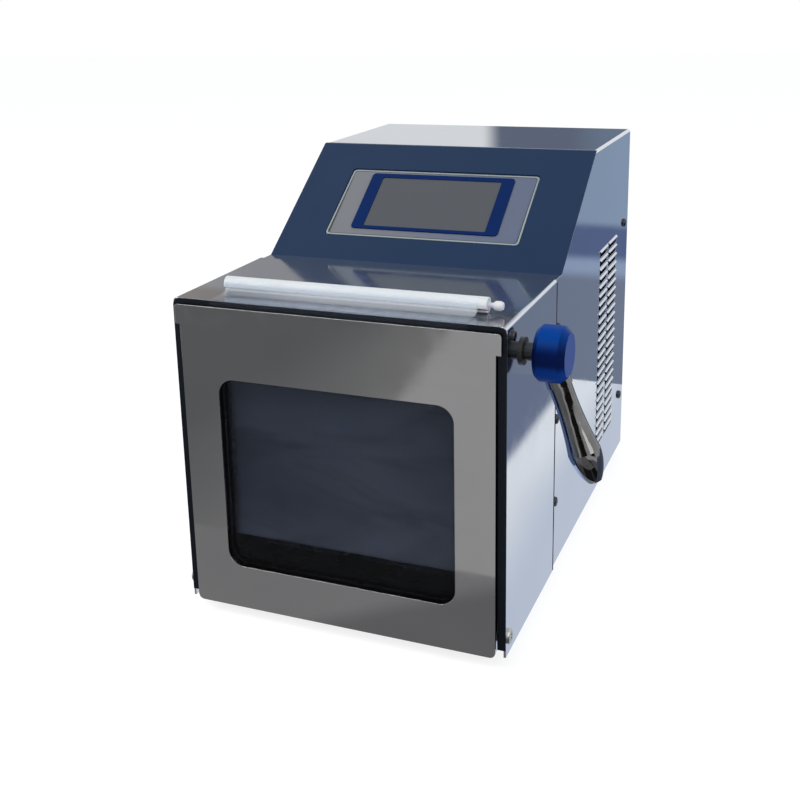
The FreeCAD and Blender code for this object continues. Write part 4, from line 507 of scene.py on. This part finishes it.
def seam_shadow_beads():
    """A black bead in the step behind the front shell's rear edge, on both sides: a painted shadow of the
    seam's gap.
    """
    lo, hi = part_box("front_shell")
    width, reach, steps, gap = 1.7 * MM, 0.35 * MM, 60, 0.02 * MM
    # Painted shadow: a dark bead where the seam's gap is shaded
    low, high = lo.z + 0.5 * MM, hi.z - 2.5 * MM
    swell_least, swell_part, lump_size, side_seed, seed = 0.85, 0.3, 60, 3.1, 0.4
    wide_at_foot, narrowing = 1.25, 0.5
    section = ((0.0, -1.6), (0.0, 0.4), (0.3, 0.9), (0.6, 0.95), (0.85, 0.5), (1.0, -1.6))
    for side, name in ((-1, "seam_shadow_left"), (1, "seam_shadow_right")):
        points, faces = [], []
        for step in range(steps + 1):
            z = low + (high - low) * step / steps
            swell = swell_least + swell_part * noise.noise(Vector((side * side_seed, z * lump_size, seed)))
            taper = wide_at_foot - narrowing * step / steps
            for along, out in section:
                reached = out * (swell * reach if out > 0 else MM)
                points.append((side * (hi.x + reached), hi.y + gap + along * width * taper, z))
        count = len(section)
        for step in range(steps):
            for k in range(count):
                a, b = step * count + k, step * count + (k + 1) % count
                faces.append((a, b, b + count, a + count))
        faces += [tuple(range(count)), tuple(steps * count + k for k in reversed(range(count)))]
        shown(name, meshed(name, points, faces), "black_rubber", "case")


seam_shadow_beads()


# Printed lines on the label, in the plane of the slope
def slope_frame(name):
    """The slope's direction, its normal, and the node's extent in that plane."""
    lo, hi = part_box("control_fascia")
    along = Vector((0, hi.y - lo.y, hi.z - lo.z)).normalized()
    normal = Vector((0, -along.z, along.y))
    points = [v.co for v in nodes[name].data.vertices]
    rises = [p.dot(along) for p in points]
    return along, normal, min(rises), max(rises), max(p.dot(normal) for p in points)


def rounded_loop(half_width, low, high, radius, steps=8):
    """A rectangle's outline with round corners, centred on x = 0."""
    corners = ((half_width, high, 0), (-half_width, high, 1), (-half_width, low, 2), (half_width, low, 3))
    loop = []
    for x, y, quarter in corners:
        cx = x - math.copysign(radius, x)
        cy = y - radius if quarter < 2 else y + radius
        for step in range(steps + 1):
            angle = math.pi / 2 * (quarter + step / steps)
            loop.append((cx + radius * math.cos(angle), cy + radius * math.sin(angle)))
    return loop


def printed_line(name, inset, width, ink, proud=0.04 * MM, corner=3.2 * MM):
    """A closed line of ink along the label's edge, inset from it and just proud of its face."""
    along, normal, low, high, top = slope_frame("label_plate")
    lo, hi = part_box("label_plate")
    section = ((inset, -proud), (inset, proud), (inset + width, proud), (inset + width, -proud))
    points, faces = [], []
    for offset, level in section:
        loop = rounded_loop(hi.x - offset, low + offset, high - offset, corner - offset / 2)
        points += [Vector((x, 0, 0)) + along * v + normal * (top + level) for x, v in loop]
    count = len(points) // len(section)
    for row in range(len(section)):
        for k in range(count):
            a, b = row * count + k, row * count + (k + 1) % count
            c, d = (b + count) % len(points), (a + count) % len(points)
            faces.append((a, b, c, d))
    shown(name, meshed(name, points, faces, False), "label_grey", "case", ink)


PALE_INK = plastic("pale ink", (0.29, 0.33, 0.33), 0.4, shade=0.1, level=0.1, dust=0.0).material
DARK_INK = plastic("dark ink", (0.03, 0.035, 0.04), 0.4, shade=0.1, level=0.1, dust=0.0).material
printed_line("label_border", 0.3 * MM, 1.3 * MM, PALE_INK)
printed_line("label_line", 1.6 * MM, 0.45 * MM, DARK_INK)


# Sample bag: clear film from the clip, over the front edge and down into the chamber
def film_path():
    """The film's middle line as (y, z, how far it may ripple) from the clip to its lower seam."""
    lo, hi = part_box("sample_bag")
    film, deck = 0.6 * MM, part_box("front_shell")[1].z
    bend, bend_steps, taut = 2.2 * MM, 6, 0.1
    sleeve_gap, door_gap = 0.25 * MM, 1.3 * MM
    y_lip, z_top = lo.y + film / 2, hi.z - film / 2
    y_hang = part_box("door_backing")[1].y + door_gap
    sleeve_lo, sleeve_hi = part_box("clip_sleeve")
    front = sleeve_lo.y - sleeve_gap
    middle = (sleeve_lo.z + sleeve_hi.z) / 2
    down_the_sleeve = [
        (front + 0.9 * MM, middle + 2.4 * MM, 0.0), (front + 0.2 * MM, middle + 0.8 * MM, 0.0),
        (front - 0.1 * MM, middle - 0.9 * MM, 0.05), (front - 1.8 * MM, z_top + 1.3 * MM, 0.15)]
    along_the_deck = [
        (front - 5 * MM, z_top, 0.4), (y_lip + 9 * MM, z_top, 0.45), (y_lip + bend, z_top, taut)]
    round_the_edge = []
    for step in range(1, bend_steps):
        angle = math.pi / 2 * step / bend_steps
        y, z = y_lip + bend * (1 - math.sin(angle)), z_top - bend * (1 - math.cos(angle))
        round_the_edge.append((y, z, taut))
    round_the_edge += [(y_lip, z_top - bend, taut), (y_lip, deck - 9 * MM, taut)]
    down_inside = [(y_hang, deck - 21 * MM, taut), (y_hang + 1.5 * MM, deck - 45 * MM, 1.0),
                   (y_hang + 3 * MM, deck - 95 * MM, 2.4), (y_hang + 2 * MM, lo.z + 18 * MM, 2.0),
                   (y_hang + 1.5 * MM, lo.z + 0.3 * MM, 1.0)]
    return down_the_sleeve + along_the_deck + round_the_edge + down_inside


def resampled(knots, step):
    """The same path with a point about every step along it."""
    points = [knots[0]]
    for (y0, z0, r0), (y1, z1, r1) in zip(knots, knots[1:]):
        length = math.hypot(y1 - y0, z1 - z0)
        count = max(1, round(length / step))
        for k in range(1, count + 1):
            share = k / count
            points.append((y0 + (y1 - y0) * share, z0 + (z1 - z0) * share, r0 + (r1 - r0) * share))
    return points


def folds(across, along, waves_across, waves_along, seed):
    return noise.noise(Vector((across * waves_across, along * waves_along, seed)))


def film_sheet():
    """The film as one thin sheet, which lies soft and rippled along its path."""
    lo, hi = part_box("sample_bag")
    margin, columns, thickness = 0.3 * MM, 84, 0.08 * MM
    path = resampled(film_path(), 2.2 * MM)
    width = hi.x - lo.x - 2 * margin
    ripple_part, ripple_base, facing_back = 0.62, 0.35, -0.5
    points, faces, length = [], [], 0.0
    for row, (y, z, ripple) in enumerate(path):
        before, after = path[max(row - 1, 0)], path[min(row + 1, len(path) - 1)]
        tangent = Vector((0, after[0] - before[0], after[1] - before[1])).normalized()
        out = Vector((0, tangent.z, -tangent.y))
        if out.z < facing_back or out.y < facing_back:
            out.negate()
        if row:
            length += math.hypot(y - path[row - 1][0], z - path[row - 1][1])
        for column in range(columns + 1):
            x = lo.x + margin + width * column / columns
            soft = folds(x, length, 38, 14, 0.7) + folds(x, length, 95, 30, 4.1) / 2
            lift = ripple * MM * (ripple_part * soft + ripple_base)
            points.append(Vector((x, y, z)) + out * lift)
    for row in range(len(path) - 1):
        for column in range(columns):
            a = row * (columns + 1) + column
            faces.append((a, a + 1, a + columns + 2, a + columns + 1))
    obj = shown("bag_sheet", meshed("bag_sheet", points, faces), "bag_film", "case")
    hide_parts("sample_bag")
    solid = obj.modifiers.new("gauge", "SOLIDIFY")
    solid.thickness = thickness
    solid.offset = 0


film_sheet()


# Stage: white floor and surroundings, soft lamps
def direct_view(tree):
    """1 for the rays that see or mirror the surroundings, and 0 for those that only light."""
    rays = tree.nodes.new("ShaderNodeLightPath")
    total = rays.outputs["Is Camera Ray"]
    for key in ("Is Glossy Ray", "Is Transmission Ray"):
        both = tree.nodes.new("ShaderNodeMath")
        both.operation = "MAXIMUM"
        tree.links.new(total, both.inputs[0])
        tree.links.new(rays.outputs[key], both.inputs[1])
        total = both.outputs[0]
    return total


def flat_piece(name, corners, material):
    """A flat piece of the stage."""
    obj = bpy.data.objects.new(name, meshed(name, corners, [tuple(range(len(corners)))], False))
    bpy.context.scene.collection.objects.link(obj)
    obj.data.materials.append(material)
    return obj


def floor():
    """A pale floor that lights the object softly, and looks white but for the object's shadow."""
    m = Finish("studio floor")
    tree, half = m.tree, 6
    tree.nodes.remove(m.shader)
    speck = m.noise(3, 3)
    lit = m.add("ShaderNodeBsdfDiffuse", Color=m.blend(speck, (0.80, 0.80, 0.80), (0.82, 0.82, 0.82)))
    pale = m.add("ShaderNodeBsdfDiffuse", Color=m.blend(speck, (0.30, 0.30, 0.30), (0.31, 0.31, 0.31)))
    glow = m.add("ShaderNodeEmission", Color=(1, 1, 1, 1), Strength=0.80)
    seen = tree.nodes.new("ShaderNodeAddShader")
    tree.links.new(pale.outputs[0], seen.inputs[0])
    tree.links.new(glow.outputs[0], seen.inputs[1])
    mix = tree.nodes.new("ShaderNodeMixShader")
    tree.links.new(direct_view(tree), mix.inputs[0])
    tree.links.new(lit.outputs[0], mix.inputs[1])
    tree.links.new(seen.outputs[0], mix.inputs[2])
    tree.links.new(mix.outputs[0], tree.nodes["Material Output"].inputs["Surface"])
    flat_piece("floor", [(-half, -half, 0), (half, -half, 0), (half, half, 0), (-half, half, 0)], m.material)


floor()


def card(name, corners, shade, bands, direction):
    """A panel that only polished surfaces mirror. From its first shade, each band turns it to another.

    A band is where it starts along the direction, how softly, and its shade.
    """
    m = Finish(name)
    m.tree.nodes.remove(m.shader)
    along = m.add("ShaderNodeVectorMath", {"operation": "DOT_PRODUCT"})
    m.put(along.inputs[0], m.place)
    m.put(along.inputs[1], direction)
    drift = m.math("SUBTRACT", m.noise(2.2, 2), 0.5)
    for start, soft, color in bands:
        place = m.math("ADD", along.outputs["Value"], m.math("MULTIPLY", drift, soft))
        shade = m.blend(m.span(place, start - soft / 2, start + soft / 2), shade, color)
    glow = m.add("ShaderNodeEmission", Color=shade, Strength=1.0)
    m.tree.links.new(glow.outputs[0], m.tree.nodes["Material Output"].inputs["Surface"])
    obj = flat_piece(name, corners, m.material)
    obj.visible_camera = obj.visible_diffuse = obj.visible_shadow = False
    obj.visible_transmission = obj.visible_volume_scatter = False


def floor_card(name, x_range, y_range, shade, bands, direction):
    (x0, x1), (y0, y1) = x_range, y_range
    card(name, [(x0, y0, MM), (x1, y0, MM), (x1, y1, MM), (x0, y1, MM)], shade, bands, direction)


def wall_card(name, start, end, height, shade, bands, direction):
    (x0, y0), (x1, y1) = start, end
    card(name, [(x0, y0, 0.0), (x1, y1, 0.0), (x1, y1, height), (x0, y0, height)], shade, bands, direction)


# Lines on the floor, in metres: the case's front and side, where the side's far view starts, and the walls
FRONT, SIDE, GRIP_SIDE, FAR, SIDE_END = -0.185, 0.1, 0.118, 0.371, 2.0
BACK_WALL, FRONT_WALL, RIGHT_WALL, WALL_HEIGHT = 2.6, -1.9, 2.4, 0.5
RIGHTWARD, BACKWARD, BROWN = (1, 0, 0), (0, 1, 0), (0.03, 0.028, 0.026)
floor_card("side_near_card", (SIDE, SIDE_END), (FRONT, FAR), (0.62, 0.68, 0.79),
           [(0.16, 0.05, (0.90, 0.93, 0.97)), (0.207, 0.012, (0.175, 0.21, 0.31))], RIGHTWARD)
floor_card("side_far_card", (0.02, SIDE_END), (FAR, 4.0), (0.20, 0.235, 0.32),
           [(0.83, 0.08, (0.32, 0.40, 0.56)), (0.94, 0.08, (0.11, 0.15, 0.28)),
            (1.19, 0.08, (0.285, 0.365, 0.50))], BACKWARD)
card("side_left_card", [(-3.0, FRONT, MM), (-SIDE, FRONT, MM), (-SIDE, FAR, MM), (0.02, FAR, MM),
                        (0.02, 2.5, MM), (-3.0, 2.5, MM)], (0.80, 0.83, 0.88),
     [(0.27, 0.10, (0.36, 0.41, 0.50)), (0.70, 0.30, (0.55, 0.60, 0.68))], (-1, 0.12, 0))
floor_card("grip_card", (GRIP_SIDE, 0.8), (-0.6, FRONT), (0.03, 0.03, 0.035),
           [(0.16, 0.02, (0.10, 0.11, 0.13)), (0.19, 0.02, (0.02, 0.02, 0.02)),
            (0.32, 0.05, (0.30, 0.33, 0.38))], (1, 0.3, 0))
wall_card("roof_card", (-1.4, BACK_WALL), (-0.1, BACK_WALL), 1.2, (0.78, 0.79, 0.80),
          [(-0.745, 0.07, (0.13, 0.155, 0.215)), (-0.45, 0.12, (0.16, 0.206, 0.284))], RIGHTWARD)
wall_card("deck_card", (-5, BACK_WALL), (-1.4, BACK_WALL), 2.2, (0.55, 0.50, 0.46),
          [(-1.75, 0.5, (0.42, 0.38, 0.36))], RIGHTWARD)
floor_card("door_card", (-0.7, 0.4), (-1.05, -0.31), (0.155, 0.16, 0.165),
           [(-0.16, 0.22, (0.265, 0.265, 0.265)), (-0.06, 0.015, (0.46, 0.455, 0.46))], (1, -0.117, 0))
floor_card("door_near_card", (-0.7, GRIP_SIDE), (-0.31, -0.19), (0.275, 0.27, 0.275),
           [(-0.268, 0.05, (0.19, 0.185, 0.19))], (1, 1.2, 0))
wall_card("room_card", (-0.4, FRONT_WALL), (RIGHT_WALL, FRONT_WALL), WALL_HEIGHT, (0.30, 0.30, 0.30),
          [(0.0, 0.5, BROWN)], RIGHTWARD)
wall_card("aisle_card", (RIGHT_WALL, FRONT_WALL), (RIGHT_WALL, -0.4), WALL_HEIGHT, BROWN,
          [(-0.5, 0.4, (0.10, 0.12, 0.16))], BACKWARD)


def world():
    """White surroundings to the eye and to mirrors, and a soft grey sky as light."""
    scene, ambient = bpy.context.scene, 0.62
    scene.world = bpy.data.worlds.new("studio")
    scene.world.use_nodes = True
    tree = scene.world.node_tree
    seen = tree.nodes["Background"]
    seen.inputs["Color"].default_value = (1, 1, 1, 1)
    lit = tree.nodes.new("ShaderNodeBackground")
    lit.inputs["Color"].default_value = (0.96, 0.98, 1, 1)
    lit.inputs["Strength"].default_value = ambient
    mix = tree.nodes.new("ShaderNodeMixShader")
    tree.links.new(direct_view(tree), mix.inputs[0])
    tree.links.new(lit.outputs[0], mix.inputs[1])
    tree.links.new(seen.outputs[0], mix.inputs[2])
    tree.links.new(mix.outputs[0], tree.nodes["World Output"].inputs["Surface"])


def lamp(name, place, target, size, power):
    """A round soft lamp that points at the target."""
    light = bpy.data.lights.new(name, "AREA")
    light.shape, light.size, light.energy = "DISK", size, power
    obj = bpy.data.objects.new(name, light)
    bpy.context.scene.collection.objects.link(obj)
    obj.location = place
    obj.rotation_euler = (Vector(target) - Vector(place)).to_track_quat("-Z", "Y").to_euler()
    obj.visible_camera = False


world()
OBJECT_MIDDLE = (0, 0, 0.15)
lamp("key_lamp", (-1.1, -1.3, 1.9), OBJECT_MIDDLE, size=1.4, power=26)
lamp("fill_lamp", (1.6, -0.9, 1.3), OBJECT_MIDDLE, size=1.6, power=12)


# Camera, fitted to the straight edges of the case
def camera():
    azimuth, elevation, roll = -0.409, 0.262, -0.028
    place = (0.2966, -0.8161, 0.4265)
    forward = Vector((math.sin(azimuth) * math.cos(elevation), math.cos(azimuth) * math.cos(elevation),
                      -math.sin(elevation)))
    right = Vector((math.cos(azimuth), -math.sin(azimuth), 0))
    up = right.cross(forward)
    c, s = math.cos(roll), math.sin(roll)
    right, up = right * c + up * s, up * c - right * s
    data = bpy.data.cameras.new("camera")
    data.sensor_width, data.lens = 36, 51.606
    data.shift_x, data.shift_y = 0.04125, -0.13325
    data.clip_end = 30
    obj = bpy.data.objects.new("camera", data)
    bpy.context.scene.collection.objects.link(obj)
    turn = Matrix((right, up, -forward)).transposed().to_4x4()
    obj.matrix_world = Matrix.Translation(place) @ turn
    bpy.context.scene.camera = obj


camera()
bpy.context.scene.view_settings.view_transform = "Standard"
bpy.context.view_layer.update()
